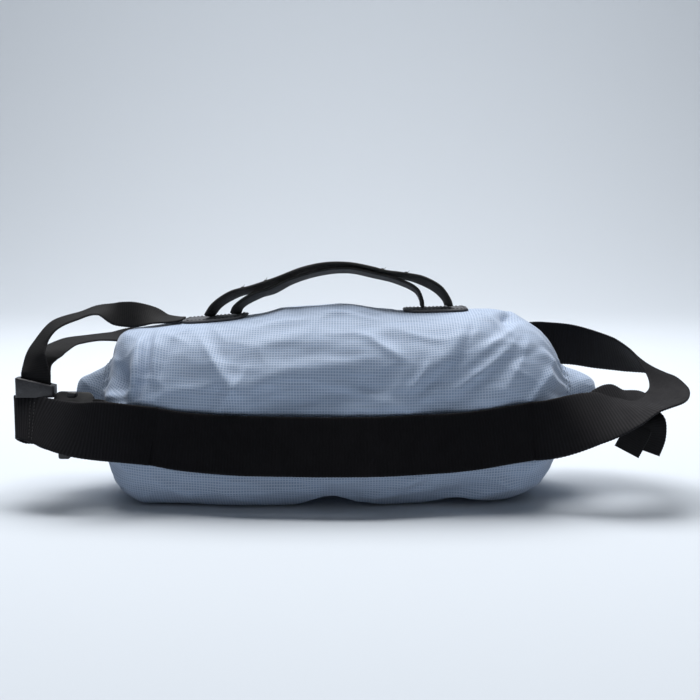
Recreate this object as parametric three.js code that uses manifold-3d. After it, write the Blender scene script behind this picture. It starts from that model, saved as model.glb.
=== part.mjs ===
// A soft hip pack standing on its bottom: ripstop bag, carry handle, buckled waist belt and side straps.
// Millimetres. +X is the pack's length to the right, +Y points away from the belt side, +Z is up.
import * as THREE from "three";
import { mergeVertices } from "three/addons/utils/BufferGeometryUtils.js";
import Module from "manifold-3d";

const wasm = await Module();
wasm.setup();

// Named sizes of the bag
const bagLength = 324;
const bagHeight = 136;
const bagDepth = 124;
const cloth = 1.6;
const earReach = 26; // how far a side ear sticks out past the end of the bag
const halfLength = bagLength / 2;
const halfDepth = bagDepth / 2;

// Named sizes of the webbing, the hardware and the zip
const beltWidth = 40;
const beltThickness = 1.8;
const sideStrapWidth = 20;
const sideStrapThickness = 1.6;
const handleWidth = 22;
const handleThickness = 2.2;
const handleRise = 33;
const patchLength = 46;
const patchDepth = 34;
const patchThickness = 1.4;
const zipWidth = 9;
const zipLength = 250;
const buckleHeight = 42;
const buckleThickness = 8;
const keeperHeight = 11.5;
const keeperWall = 2;
const sliderLength = 12;
const sliderHeight = 24;
const sliderThickness = 2.4;
const gap = 0.3; // clearance between pieces that touch
const seatGap = 0.4; // clearance of a flat strap over the curved cloth

// Sections of the bag from its left ear to its right ear. at: place along the half length, past 1 in
// shares of the ear. top, bottom, waist: heights as shares of the bag's height, waist being the widest
// line. near, far: reach as shares of the half depth. domes: how square the upper half is. feet: the
// same for the lower half.
const sectionColumns = ["at", "top", "bottom", "waist", "near", "far", "domes", "feet"];
const sections = table(sectionColumns, [
  [-2.0, 0.565, 0.5, 0.53, 0.06, 0.06, 2, 2],
  [-1.94, 0.6, 0.45, 0.52, 0.16, 0.18, 2, 2],
  [-1.6, 0.64, 0.4, 0.52, 0.24, 0.3, 2, 2],
  [-1.2, 0.68, 0.34, 0.5, 0.3, 0.38, 2, 2],
  [-1.0, 0.72, 0.22, 0.47, 0.42, 0.5, 2, 2.2],
  [-0.98, 0.78, 0.15, 0.45, 0.68, 0.64, 2.1, 2.7],
  [-0.955, 0.845, 0.09, 0.43, 0.78, 0.72, 2.2, 3.4],
  [-0.9, 0.88, 0.02, 0.41, 0.88, 0.82, 2.3, 4.0],
  [-0.82, 0.893, -0.012, 0.4, 0.95, 0.89, 2.4, 4.2],
  [-0.68, 0.92, -0.01, 0.39, 0.98, 0.93, 2.4, 4.2],
  [-0.4, 0.952, -0.016, 0.38, 1.04, 0.96, 2.4, 4.4],
  [-0.2, 0.99, -0.016, 0.38, 1.05, 0.96, 2.3, 4.4],
  [0.05, 1.005, -0.016, 0.38, 1.06, 0.96, 2.3, 4.4],
  [0.18, 0.985, -0.016, 0.38, 1.06, 0.96, 2.3, 4.2],
  [0.3, 0.975, -0.016, 0.38, 1.04, 0.96, 2.4, 3.8],
  [0.6, 0.982, -0.016, 0.39, 1.01, 0.95, 2.4, 3.2],
  [0.72, 0.975, -0.01, 0.4, 0.99, 0.93, 2.3, 3.0],
  [0.82, 0.94, 0.02, 0.41, 0.94, 0.9, 2.2, 2.8],
  [0.885, 0.89, 0.07, 0.42, 0.87, 0.84, 2.1, 2.9],
  [0.93, 0.83, 0.16, 0.44, 0.78, 0.76, 2.1, 2.5],
  [0.97, 0.75, 0.25, 0.47, 0.6, 0.66, 2, 2.2],
  [1.0, 0.69, 0.3, 0.49, 0.46, 0.54, 2, 2],
  [1.3, 0.665, 0.36, 0.51, 0.32, 0.4, 2, 2],
  [1.7, 0.635, 0.42, 0.53, 0.24, 0.3, 2, 2],
  [1.94, 0.6, 0.48, 0.54, 0.14, 0.16, 2, 2],
  [2.0, 0.565, 0.52, 0.54, 0.06, 0.06, 2, 2],
]);

// Folds and dents of the cloth. side: near wall or top. at, up: centre as shares of the half length and
// of the height (of the half depth on top). along, across: reach in millimetres. turn: degrees from the
// length. push: millimetres outwards, negative for a dent.
const foldColumns = ["side", "at", "up", "along", "across", "turn", "push"];
const folds = table(foldColumns, [
  ["near", -0.86, 0.72, 26, 9, 84, 4.5],
  ["near", -0.8, 0.66, 30, 6, 70, -3.5],
  ["near", -0.88, 0.53, 16, 6, 20, 3],
  ["near", 0.66, 0.78, 34, 8, 38, 3],
  ["near", 0.52, 0.66, 40, 9, 36, -2.5],
  ["near", 0.3, 0.7, 16, 7, 50, 2],
  ["near", -0.46, 0.68, 26, 9, -52, 1.8],
  ["near", 0.05, 0.03, 44, 11, 0, -7],
  ["near", 0.52, 0.1, 30, 10, 25, -7],
  ["top", -0.52, -0.1, 30, 18, 10, -1.5],
  ["top", 0.0, -0.25, 30, 9, 0, 2],
  ["top", 0.76, -0.2, 9, 9, 0, -3],
]);

// A list of rows as objects with named columns.
function table(columns, rows) {
  return rows.map((row) => Object.fromEntries(columns.map((name, i) => [name, row[i]])));
}

// Millimetres along X for a place given as a share: 1 is the end of the bag, 2 the tip of the ear.
function alongX(at, length = halfLength, ear = earReach) {
  const past = Math.max(Math.abs(at) - 1, 0);
  return Math.sign(at) * (Math.min(Math.abs(at), 1) * length + past * ear);
}

// The section values at a place between the table's rows, by a cubic that doesn't overshoot.
function sectionAt(at) {
  const last = sections.length - 2;
  let i = sections.findIndex((row, k) => k <= last && at < sections[k + 1].at);
  if (i < 0) i = at < sections[0].at ? 0 : last;
  const row = sections[i];
  const next = sections[i + 1];
  const span = next.at - row.at;
  const t = THREE.MathUtils.clamp((at - row.at) / span, 0, 1);
  const slope = (k, name) => {
    if (k <= 0 || k >= sections.length - 1) return 0;
    const before = (sections[k][name] - sections[k - 1][name]) / (sections[k].at - sections[k - 1].at);
    const after = (sections[k + 1][name] - sections[k][name]) / (sections[k + 1].at - sections[k].at);
    return before * after > 0 ? (2 * before * after) / (before + after) : 0;
  };
  const made = {};
  for (const name of sectionColumns) {
    const a = (t - 1) * (t - 1) * (1 + 2 * t);
    const b = t * (1 - t) * (1 - t) * span;
    const c = t * t * (3 - 2 * t);
    const d = t * t * (t - 1) * span;
    made[name] = a * row[name] + b * slope(i, name) + c * next[name] + d * slope(i + 1, name);
  }
  return made;
}

// How far the folds of one side push the cloth out at a place in that side's own plane.
function foldPush(side, x, v) {
  const height = side === "near" ? bagHeight : halfDepth;
  let push = 0;
  for (const fold of folds) {
    if (fold.side !== side) continue;
    const dx = x - fold.at * halfLength;
    const dv = v - fold.up * height;
    const turn = THREE.MathUtils.degToRad(fold.turn);
    const along = (dx * Math.cos(turn) + dv * Math.sin(turn)) / fold.along;
    const across = (-dx * Math.sin(turn) + dv * Math.cos(turn)) / fold.across;
    push += fold.push * Math.exp(-along * along - across * across);
  }
  return push;
}

// A point of the cloth at a place along the bag and an angle round its section (0 far, 90 degrees up).
// inset moves the surface inwards, for the inner face of the wall.
function clothPoint(at, angle, inset = 0) {
  const s = sectionAt(at);
  const upper = Math.sin(angle) >= 0;
  const power = 2 / (upper ? s.domes : s.feet);
  const c = Math.cos(angle);
  const n = Math.sin(angle);
  const middle = s.waist * bagHeight;
  const reach = (c >= 0 ? s.far : s.near) * halfDepth;
  const rise = Math.abs((upper ? s.top : s.bottom) - s.waist) * bagHeight;
  const shrink = (size) => Math.max(size - inset, size * (1 - 2 * inset / (inset + size)), 0.5);
  let y = Math.sign(c) * Math.pow(Math.abs(c), power) * shrink(reach);
  let z = middle + Math.sign(n) * Math.pow(Math.abs(n), power) * shrink(rise);
  const x = alongX(at, halfLength - inset / 2, earReach - inset / 2);
  y -= foldPush("near", x, z) * Math.max(-c, 0);
  z += foldPush("top", x, y) * Math.max(n, 0);
  return new THREE.Vector3(x, y, Math.max(z, inset));
}

// The near wall's Y, or the far wall's, at a length and a height. side is -1 for near and 1 for far.
function wallAt(x, z, side) {
  const at = placeOf(x);
  const s = sectionAt(at);
  const upper = z >= s.waist * bagHeight;
  const power = upper ? s.domes : s.feet;
  const rise = Math.abs((upper ? s.top : s.bottom) - s.waist) * bagHeight;
  const share = THREE.MathUtils.clamp(Math.abs(z - s.waist * bagHeight) / rise, 0, 1);
  const out = Math.pow(1 - Math.pow(share, power), 1 / power);
  const reach = (side > 0 ? s.far : s.near) * halfDepth * out;
  return side * reach - (side < 0 ? foldPush("near", x, z) * Math.pow(out, power / 2) : 0);
}

// The share along the bag of a length in millimetres.
function placeOf(x) {
  const past = Math.max(Math.abs(x) - halfLength, 0);
  return Math.sign(x) * (Math.min(Math.abs(x) / halfLength, 1) + past / earReach);
}

// The height of the bag's upper face at a length and a depth.
function topAt(x, y) {
  const s = sectionAt(placeOf(x));
  const share = Math.min(Math.abs(y) / ((y >= 0 ? s.far : s.near) * halfDepth), 1);
  const up = Math.pow(1 - Math.pow(share, s.domes), 1 / s.domes);
  return s.waist * bagHeight + (s.top - s.waist) * bagHeight * up + foldPush("top", x, y) * up;
}

// A closed mesh through rings of points, with both ends closed by a fan.
function loft(rings) {
  const count = rings[0].length;
  const points = rings.flat();
  const faces = [];
  for (let i = 0; i + 1 < rings.length; i++)
    for (let j = 0; j < count; j++) {
      const a = i * count + j;
      const b = i * count + ((j + 1) % count);
      faces.push(a, b, b + count, a, b + count, a + count);
    }
  for (const [ring, flip] of [[0, true], [rings.length - 1, false]]) {
    const centre = points.length;
    const middle = new THREE.Vector3();
    rings[ring].forEach((p) => middle.addScaledVector(p, 1 / count));
    points.push(middle);
    for (let j = 0; j < count; j++) {
      const a = ring * count + j;
      const b = ring * count + ((j + 1) % count);
      faces.push(...(flip ? [centre, b, a] : [centre, a, b]));
    }
  }
  const geometry = new THREE.BufferGeometry();
  geometry.setAttribute("position", new THREE.Float32BufferAttribute(points.flatMap((p) => p.toArray()), 3));
  geometry.setIndex(faces);
  return facingOut(geometry);
}

// The same closed mesh with its faces turned to point out.
function facingOut(geometry) {
  const p = geometry.getAttribute("position");
  const index = Array.from(geometry.index.array);
  const corner = [new THREE.Vector3(), new THREE.Vector3(), new THREE.Vector3()];
  let volume = 0;
  for (let i = 0; i < index.length; i += 3) {
    corner.forEach((v, k) => v.fromBufferAttribute(p, index[i + k]));
    volume += corner[0].dot(corner[1].clone().cross(corner[2]));
  }
  if (volume < 0) geometry.setIndex(index.map((_, i) => index[i - (i % 3) + [0, 2, 1][i % 3]]));
  return geometry;
}

// A manifold solid from a closed three.js geometry.
function solidFrom(source) {
  const bare = source.clone();
  bare.deleteAttribute("normal");
  bare.deleteAttribute("uv");
  const merged = mergeVertices(bare, 1e-4);
  const vertProperties = merged.getAttribute("position").array;
  const triVerts = new Uint32Array(merged.index.array);
  return new wasm.Manifold(new wasm.Mesh({ numProp: 3, vertProperties, triVerts }));
}

// A three.js geometry from a manifold solid.
function geometryFrom(solid) {
  const mesh = solid.getMesh();
  const positions = [];
  for (let i = 0; i < mesh.numVert; i++)
    positions.push(...mesh.vertProperties.slice(i * mesh.numProp, i * mesh.numProp + 3));
  const geometry = new THREE.BufferGeometry();
  geometry.setAttribute("position", new THREE.Float32BufferAttribute(positions, 3));
  geometry.setIndex(Array.from(mesh.triVerts));
  geometry.computeVertexNormals();
  return geometry;
}

// The bag's outer or inner skin as a closed solid.
const stations = 42;
const roundSteps = 40;
const crowdPower = 1.25; // crowds the stations towards the ends and ears
const crowdShare = 0.18;
function clothSkin(inset) {
  const rings = [];
  for (let i = 0; i <= stations; i++) {
    const t = (i / stations) * 2 - 1;
    const left = 1 - Math.abs(t);
    const at = 2 * Math.sign(t) * (1 - Math.pow(left, crowdPower)) * (1 - crowdShare * left);
    const ring = [];
    for (let j = 0; j < roundSteps; j++)
      ring.push(clothPoint(at, (j / roundSteps) * 2 * Math.PI, inset));
    rings.push(ring);
  }
  return solidFrom(loft(rings));
}

// A bar that follows the far upper side of the bag, for the zip's slot and for the zip itself.
const zipAngle = THREE.MathUtils.degToRad(48);
const zipSteps = 14;
const besideAngle = 0.05;
function zipBar(length, width, depth) {
  const rings = [];
  for (let i = 0; i <= zipSteps; i++) {
    const at = ((i / zipSteps) * 2 - 1) * (length / bagLength);
    const middle = clothPoint(at, zipAngle);
    const beside = clothPoint(at, zipAngle + besideAngle)
      .sub(clothPoint(at, zipAngle - besideAngle));
    const side = beside.setX(0).normalize();
    const out = new THREE.Vector3(0, side.z, -side.y);
    const corners = [[-1, -1], [1, -1], [1, 1], [-1, 1]];
    rings.push(corners.map(([a, b]) =>
      middle.clone().addScaledVector(side, (a * width) / 2).addScaledVector(out, b * depth)));
  }
  return solidFrom(loft(rings));
}

// The frames of a flat strap along a route. Rows give a point and the direction of the strap's width
// there, wide as a share of the width, and lean, how far its upper edge runs ahead as a share of it.
// seat moves a sampled point onto what carries it.
const routeColumns = ["x", "y", "z", "wx", "wy", "wz", "wide", "lean"];
function strapFrames(route, steps, seat = (point) => point) {
  const points = new THREE.CatmullRomCurve3(route.map((r) => new THREE.Vector3(r.x, r.y, r.z)));
  const widths = new THREE.CatmullRomCurve3(
    route.map((r) => new THREE.Vector3(r.wx, r.wy, r.wz).normalize().multiplyScalar(r.wide ?? 1)));
  const leans = new THREE.CatmullRomCurve3(route.map((r) => new THREE.Vector3(r.lean ?? 0, 0, 0)));
  const samples = [];
  for (let i = 0; i <= steps; i++) {
    const across = widths.getPoint(i / steps);
    const lean = leans.getPoint(i / steps).x;
    samples.push({ point: seat(points.getPoint(i / steps), across), across, lean });
  }
  return samples.map(({ point, across, lean }, i) => {
    const before = samples[Math.max(i - 1, 0)].point;
    const after = samples[Math.min(i + 1, steps)].point;
    const ahead = after.clone().sub(before).normalize();
    const side = across.clone().addScaledVector(ahead, -across.dot(ahead));
    side.normalize().multiplyScalar(across.length());
    const out = new THREE.Vector3().crossVectors(ahead, side).normalize();
    side.addScaledVector(ahead, lean * across.length());
    return { point, ahead, side, out };
  });
}

// The closed band of a strap's frames.
function band(frames, width, thickness) {
  const corners = [[-1, -1], [1, -1], [1, 1], [-1, 1]];
  return loft(frames.map(({ point, side, out }) => corners.map(([a, b]) => point.clone()
    .addScaledVector(side, (a * width) / 2)
    .addScaledVector(out, (b * thickness) / 2))));
}

// Moves a sampled point of a strap out until its whole width clears the bag's wall.
const seatSamples = 7;
function clearOfBag(width, thickness) {
  return (point, across) => {
    const side = point.y < 0 ? -1 : 1;
    if (Math.abs(point.x) > halfLength) return point;
    let y = point.y * side;
    for (let k = 0; k < seatSamples; k++) {
      const share = ((k / (seatSamples - 1)) * 2 - 1) * (width / 2);
      const wall = wallAt(point.x, point.z + share * across.z, side) * side;
      y = Math.max(y, wall - share * across.y * side + thickness / 2 + seatGap);
    }
    return point.clone().setY(y * side);
  };
}

// Route rows from shares: x of the half length, y of the half depth, z of the height.
function routeFrom(rows) {
  return table(routeColumns, rows).map((row) => ({
    ...row,
    x: row.x * halfLength,
    y: row.y * halfDepth,
    z: row.z * bagHeight,
  }));
}

// A plate with rounded corners, flat in XZ, thick along Y, with an optional window.
function plate(length, height, thickness, radius, window) {
  const shape = roundedRectangle(new THREE.Shape(), length, height, radius);
  if (window) shape.holes.push(roundedRectangle(new THREE.Path(), window.length, window.height, 1));
  const geometry = new THREE.ExtrudeGeometry(shape, { depth: thickness, bevelEnabled: false, curveSegments: 4 });
  geometry.translate(0, 0, -thickness / 2);
  geometry.rotateX(Math.PI / 2);
  return geometry;
}

function roundedRectangle(path, length, height, radius) {
  const x = length / 2;
  const y = height / 2;
  path.moveTo(-x + radius, -y);
  path.lineTo(x - radius, -y);
  path.absarc(x - radius, -y + radius, radius, -Math.PI / 2, 0, false);
  path.lineTo(x, y - radius);
  path.absarc(x - radius, y - radius, radius, 0, Math.PI / 2, false);
  path.lineTo(-x + radius, y);
  path.absarc(-x + radius, y - radius, radius, Math.PI / 2, Math.PI, false);
  path.lineTo(-x, -y + radius);
  path.absarc(-x + radius, -y + radius, radius, Math.PI, Math.PI * 1.5, false);
  return path;
}

// Materials
const ripstop = { color: 0x9fb2cb, roughness: 0.8, metalness: 0 };
const webbing = { color: 0x141416, roughness: 0.85, metalness: 0 };
const charcoal = { color: 0x33353b, roughness: 0.8, metalness: 0 };
const plastic = { color: 0x1b1b1e, roughness: 0.45, metalness: 0 };

const pack = new THREE.Group();
pack.name = "hip_pack";

function addPiece(name, geometry, finish) {
  const mesh = new THREE.Mesh(geometry, new THREE.MeshStandardMaterial(finish));
  mesh.name = name;
  pack.add(mesh);
  return mesh;
}

// Bag body, hollow, with the zip closing its slot
const shell = clothSkin(0).subtract(clothSkin(cloth));
const zipCut = 4 * cloth;
addPiece("bag_body", geometryFrom(shell.subtract(zipBar(zipLength, zipWidth, zipCut))), ripstop);
const zipSolid = shell.intersect(zipBar(zipLength - 2 * gap, zipWidth - 2 * gap, zipCut - gap));
addPiece("main_zip", geometryFrom(zipSolid), charcoal);

// Zip slider, flat on the zip near its right end
const pullShare = 0.55; // place along the half zip
const pullAt = (pullShare * zipLength) / bagLength;
const pullSize = { length: 13, width: 7, height: 3.4 };
const pullLift = 1; // the closed zip bulges a little over its slot
const pullSeat = clothPoint(pullAt, zipAngle);
const pull = addPiece("zip_pull", new THREE.BoxGeometry(pullSize.length, pullSize.width, pullSize.height), plastic);
pull.rotation.x = zipAngle - Math.PI / 2;
pull.position.copy(pullSeat).add(
  new THREE.Vector3(0, Math.cos(zipAngle), Math.sin(zipAngle)).multiplyScalar(pullSize.height / 2 + pullLift));

// Handle patches: thin plates that follow the top of the bag
const patches = table(["name", "at"], [["handle_patch_left", -0.535], ["handle_patch_right", 0.44]]);
const patchSteps = 6;
for (const { name, at } of patches) {
  const rings = [];
  for (let i = 0; i <= patchSteps; i++) {
    const x = at * halfLength + (i / patchSteps - 0.5) * patchLength;
    const lower = [];
    const upper = [];
    for (let j = 0; j <= patchSteps; j++) {
      const y = (j / patchSteps - 0.5) * patchDepth;
      const z = topAt(x, y) + seatGap;
      lower.push(new THREE.Vector3(x, y, z));
      upper.unshift(new THREE.Vector3(x, y, z + patchThickness));
    }
    rings.push([...lower, ...upper]);
  }
  addPiece(name, loft(rings), charcoal);
}

// Carry handle: two layers that part near their feet. span: place between the feet of the outer layer.
// rise: height over the patches as a share of the handle's rise.
const handleLean = 0.2;
const leanFrom = 0.4;
const footGap = 0.75;
const outerFeet = { left: -0.565 * halfLength, right: 0.5 * halfLength };
function handleRoute(rows) {
  const named = table(["span", "rise"], rows).map((row) => ({
    ...row,
    x: THREE.MathUtils.lerp(outerFeet.left, outerFeet.right, row.span),
  }));
  const corners = [-1, 0, 1].flatMap((k) => [-1, 0, 1].map((m) => [k * handleThickness, (m * handleWidth) / 2]));
  const patchTop = (x) => Math.max(...corners.map(([dx, y]) => topAt(x + dx, y)))
    + seatGap + patchThickness + footGap;
  const [first, last] = [named[0].x, named[named.length - 1].x];
  return named.map(({ x, rise }) => {
    const base = THREE.MathUtils.mapLinear(x, first, last, patchTop(first), patchTop(last));
    const lean = handleLean * Math.min(1, rise / leanFrom);
    return { x, y: 0, z: base + rise * handleRise, wx: 0, wy: -1, wz: lean };
  });
}
const handleOuter = [[0, 0], [0.035, 0.23], [0.108, 0.45], [0.19, 0.55], [0.283, 0.7], [0.39, 0.9], [0.49, 0.985],
  [0.59, 0.96], [0.68, 0.85], [0.73, 0.77], [0.81, 0.69], [0.88, 0.59], [0.954, 0.37], [0.992, 0.12], [1.0, 0]];
const handleInner = [[0.11, 0], [0.125, 0.15], [0.2, 0.38], [0.263, 0.47], [0.339, 0.65], [0.431, 0.79],
  [0.527, 0.858], [0.6, 0.84], [0.68, 0.735], [0.778, 0.59], [0.862, 0.36], [0.885, 0.15], [0.89, 0]];
const handleSteps = 40;
for (const [name, rows] of [["handle_outer_strap", handleOuter], ["handle_inner_strap", handleInner]])
  addPiece(name, band(strapFrames(handleRoute(rows), handleSteps), handleWidth, handleThickness), webbing);

// Waist belt: across the near wall, round the right end in a free loop and onto the far wall.
const beltRoute = routeFrom([
  [-1.35, -0.67, 0.458, 0, 0.55, 0.835, 0.76, -0.5],
  [-1.25, -0.765, 0.445, 0, 0.54, 0.84, 0.84, -0.3],
  [-1.17, -0.88, 0.433, 0, 0.5, 0.866, 0.88, -0.12],
  [-1.07, -1.0, 0.422, 0, 0.3, 0.95, 0.93],
  [-0.96, -1.05, 0.418, 0, 0.1, 1, 1],
  [-0.8, -1.02, 0.395, 0, 0, 1, 1],
  [-0.64, -0.9, 0.365, 0, 0.05, 1, 1],
  [-0.37, -0.9, 0.352, 0, 0.2, 0.98, 1],
  [0.06, -0.9, 0.35, 0, 0.28, 0.96, 1],
  [0.36, -0.9, 0.356, 0, 0.2, 0.98, 1],
  [0.56, -0.9, 0.368, 0, 0.05, 1, 1],
  [0.72, -0.9, 0.395, 0, 0, 1, 1],
  [0.9, -1.0, 0.425, 0, 0.1, 1, 1],
  [1.055, -0.96, 0.474, 0, 0.6, 0.78, 1],
  [1.15, -0.9, 0.495, 0, 0.77, 0.63, 0.97],
  [1.228, -0.84, 0.51, 0, 0.9, 0.43, 0.9],
  [1.296, -0.77, 0.522, -0.1, 0.95, 0.16, 0.8],
  [1.355, -0.68, 0.535, -0.35, 0.92, 0.12, 0.76],
  [1.42, -0.53, 0.55, -0.65, 0.7, 0.12, 0.74],
  [1.46, -0.31, 0.575, -0.9, 0.35, 0.14, 0.7],
  [1.472, -0.06, 0.605, -0.93, -0.05, 0.25, 0.74],
  [1.455, 0.17, 0.642, -0.8, -0.45, 0.3, 0.84],
  [1.405, 0.4, 0.675, -0.5, -0.7, 0.5, 0.95],
  [1.325, 0.62, 0.7, -0.2, -0.72, 0.66, 1],
  [1.225, 0.8, 0.72, 0, -0.66, 0.75, 1],
  [1.11, 0.93, 0.742, 0, -0.55, 0.83, 1],
  [0.98, 0.95, 0.745, 0, -0.45, 0.9, 1],
  [0.88, 0.85, 0.742, 0, -0.4, 0.92, 1],
  [0.78, 0.75, 0.735, 0, -0.35, 0.94, 1],
  [0.68, 0.7, 0.73, 0, -0.35, 0.94, 1],
]);
const beltSteps = 104;
const beltFrames = strapFrames(beltRoute, beltSteps, clearOfBag(beltWidth, beltThickness));

// The left end of the belt turns back round the buckle's flat end and is sewn down behind it.
const foldRadius = 4.4;
const foldSteps = 8;
const hemLength = 15;
const { point: turnPoint, ahead: turnAhead, out: turnOut, side: turnSide } = beltFrames[0];
const foldCentre = turnPoint.clone().addScaledVector(turnOut, -foldRadius);
const foldFrames = [];
for (let i = foldSteps; i >= 1; i--) {
  const angle = (i / foldSteps) * Math.PI;
  const out = turnOut.clone().multiplyScalar(Math.cos(angle)).addScaledVector(turnAhead, -Math.sin(angle));
  foldFrames.push({ point: foldCentre.clone().addScaledVector(out, foldRadius), side: turnSide, out });
}

// Puts a piece in the axes of a strap's frame: length ahead, height across the strap, thickness out.
function placeOnFrame(mesh, frame, back, ahead, up) {
  const side = frame.side.clone().normalize();
  mesh.quaternion.setFromRotationMatrix(new THREE.Matrix4().makeBasis(
    frame.ahead, frame.out.clone().negate(), side));
  mesh.position.copy(frame.point).addScaledVector(frame.out, -back)
    .addScaledVector(frame.ahead, ahead).addScaledVector(side, up);
}

// Side-release buckle, fastened: a flat male half in the fold of the belt, its tongue in the female half.
// It points from the fold to the place on the bag where its own webbing is sewn.
const anchorSeat = new THREE.Vector3(-0.98 * halfLength, 0, 0.43 * bagHeight);
anchorSeat.y = wallAt(anchorSeat.x, anchorSeat.z, -1) - seatGap;
const buckleAhead = anchorSeat.clone().sub(foldCentre).normalize();
const buckleSide = turnSide.clone().addScaledVector(buckleAhead, -turnSide.dot(buckleAhead)).normalize();
const buckleFrame = {
  point: foldCentre,
  ahead: buckleAhead,
  side: buckleSide,
  out: new THREE.Vector3().crossVectors(buckleAhead, buckleSide),
};
const hemPoint = foldFrames[0].point.clone().addScaledVector(buckleAhead, hemLength);
const hemEnd = { ...foldFrames[0], point: hemPoint };
addPiece("waist_belt", band([hemEnd, ...foldFrames, ...beltFrames], beltWidth, beltThickness), webbing);
const maleThickness = 2 * foldRadius - beltThickness - 4 * seatGap;
const maleInFold = -3.6;
const femaleLength = 28;
const femaleAhead = 21;
const tongueInset = 5;
const femaleWall = 2;
const sunk = 1;
const tongue = {
  length: femaleLength - 3 * femaleWall,
  height: buckleHeight - 2 * tongueInset,
  thickness: buckleThickness - 2 * femaleWall - 2 * gap,
};
const maleLength = femaleAhead + maleInFold - gap;
const maleBody = solidFrom(plate(maleLength, buckleHeight - 2 * tongueInset, maleThickness, tongueInset));
const tongueShape = new THREE.BoxGeometry(tongue.length + 2 * sunk, tongue.thickness, tongue.height);
tongueShape.translate(maleLength / 2 + tongue.length / 2, 0, 0);
const male = addPiece("buckle_male", geometryFrom(maleBody.add(solidFrom(tongueShape))), plastic);
placeOnFrame(male, buckleFrame, 0, maleLength / 2 - maleInFold, 0);
const femaleBody = solidFrom(plate(femaleLength, buckleHeight, buckleThickness, tongueInset));
const cavity = [tongue.length + 2 * sunk + 2 * gap, tongue.thickness + 2 * gap, tongue.height + 2 * gap];
const cavityShape = new THREE.BoxGeometry(...cavity);
cavityShape.translate(tongue.length / 2 - femaleLength / 2, 0, 0);
const female = addPiece("buckle_female", geometryFrom(femaleBody.subtract(solidFrom(cavityShape))), plastic);
placeOnFrame(female, buckleFrame, 0, femaleAhead + femaleLength / 2, 0);

// Short webbing from the buckle to the left end of the bag
const anchorWidth = 32;
const anchorSteps = 10;
const buckleEnd = foldCentre.clone().addScaledVector(buckleAhead, femaleAhead + femaleLength + seatGap);
const anchorShares = [0, 0.4, 1];
const anchorRoute = anchorShares.map((share) => {
  const { x, y, z } = buckleEnd.clone().lerp(anchorSeat, share);
  return { x, y, z, wx: 0, wy: buckleSide.y * (1 - share), wz: 1 };
});
anchorRoute.push({ ...anchorRoute[anchorRoute.length - 1], x: -0.88 * halfLength });
const anchorFrames = strapFrames(anchorRoute, anchorSteps, clearOfBag(anchorWidth, sideStrapThickness));
addPiece("buckle_anchor_strap", band(anchorFrames, anchorWidth, sideStrapThickness), webbing);

// Second layer behind the right end of the belt: it rises over the belt's upper edge in a low hump,
// with the slider behind it
const doubledShares = { from: 0.452, to: 0.567 };
const sliderShare = 0.36; // place of the slider along the second layer
const doubledRise = { low: 0.075 * beltWidth, high: 0.27 * beltWidth };
const doubledBack = { low: beltThickness + 3 * seatGap, high: beltThickness + 13 * seatGap };
const doubledTurn = THREE.MathUtils.degToRad(25);
const doubledWide = 0.8;
const beltStep = (share) => Math.round(share * beltSteps);
const doubledPart = beltFrames.slice(beltStep(doubledShares.from), beltStep(doubledShares.to));
const doubledFrames = doubledPart.map((frame, i) => {
  const hump = Math.sin((Math.PI * i) / (doubledPart.length - 1));
  const across = frame.side.clone().normalize();
  const turn = doubledTurn * hump;
  const side = across.clone().multiplyScalar(Math.cos(turn)).addScaledVector(frame.out, Math.sin(turn));
  const out = frame.out.clone().multiplyScalar(Math.cos(turn)).addScaledVector(across, -Math.sin(turn));
  const point = frame.point.clone()
    .addScaledVector(frame.out, -THREE.MathUtils.lerp(doubledBack.low, doubledBack.high, hump))
    .addScaledVector(across, THREE.MathUtils.lerp(doubledRise.low, doubledRise.high, hump));
  return { ...frame, point, side: side.multiplyScalar(doubledWide * frame.side.length()), out };
});
addPiece("belt_doubled_end", band(doubledFrames, beltWidth, beltThickness), webbing);
const sliderFrame = doubledFrames[Math.round(sliderShare * (doubledFrames.length - 1))];
const sliderBack = beltThickness / 2 + 7 * seatGap + sliderThickness / 2;
const sliderWindow = { length: 4, height: 18 };
const slider = addPiece(
  "belt_slider", plate(sliderLength, sliderHeight, sliderThickness, 2, sliderWindow), plastic);
placeOnFrame(slider, sliderFrame, sliderBack, 0, 0);

// Two loose webbing ends that hang from the slider
const tailRows = {
  belt_tail_front: [
    [1.236, -0.63, 0.458, 0.72, 0.2, 0.6, 1],
    [1.257, -0.72, 0.41, 0.75, 0.1, 0.66, 1],
    [1.29, -0.76, 0.355, 0.75, 0, 0.66, 1],
    [1.318, -0.77, 0.3, 0.75, 0, 0.66, 1],
  ],
  belt_tail_rear: [
    [1.27, -0.572, 0.456, 0.88, 0.15, 0.4, 1],
    [1.3, -0.655, 0.43, 0.88, 0.1, 0.45, 1],
    [1.33, -0.68, 0.37, 0.88, 0, 0.47, 1],
    [1.356, -0.7, 0.3, 0.88, 0, 0.47, 1],
  ],
};
const tailSteps = 10;
for (const [name, rows] of Object.entries(tailRows))
  addPiece(name, band(strapFrames(routeFrom(rows), tailSteps), sideStrapWidth, sideStrapThickness), webbing);

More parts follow.
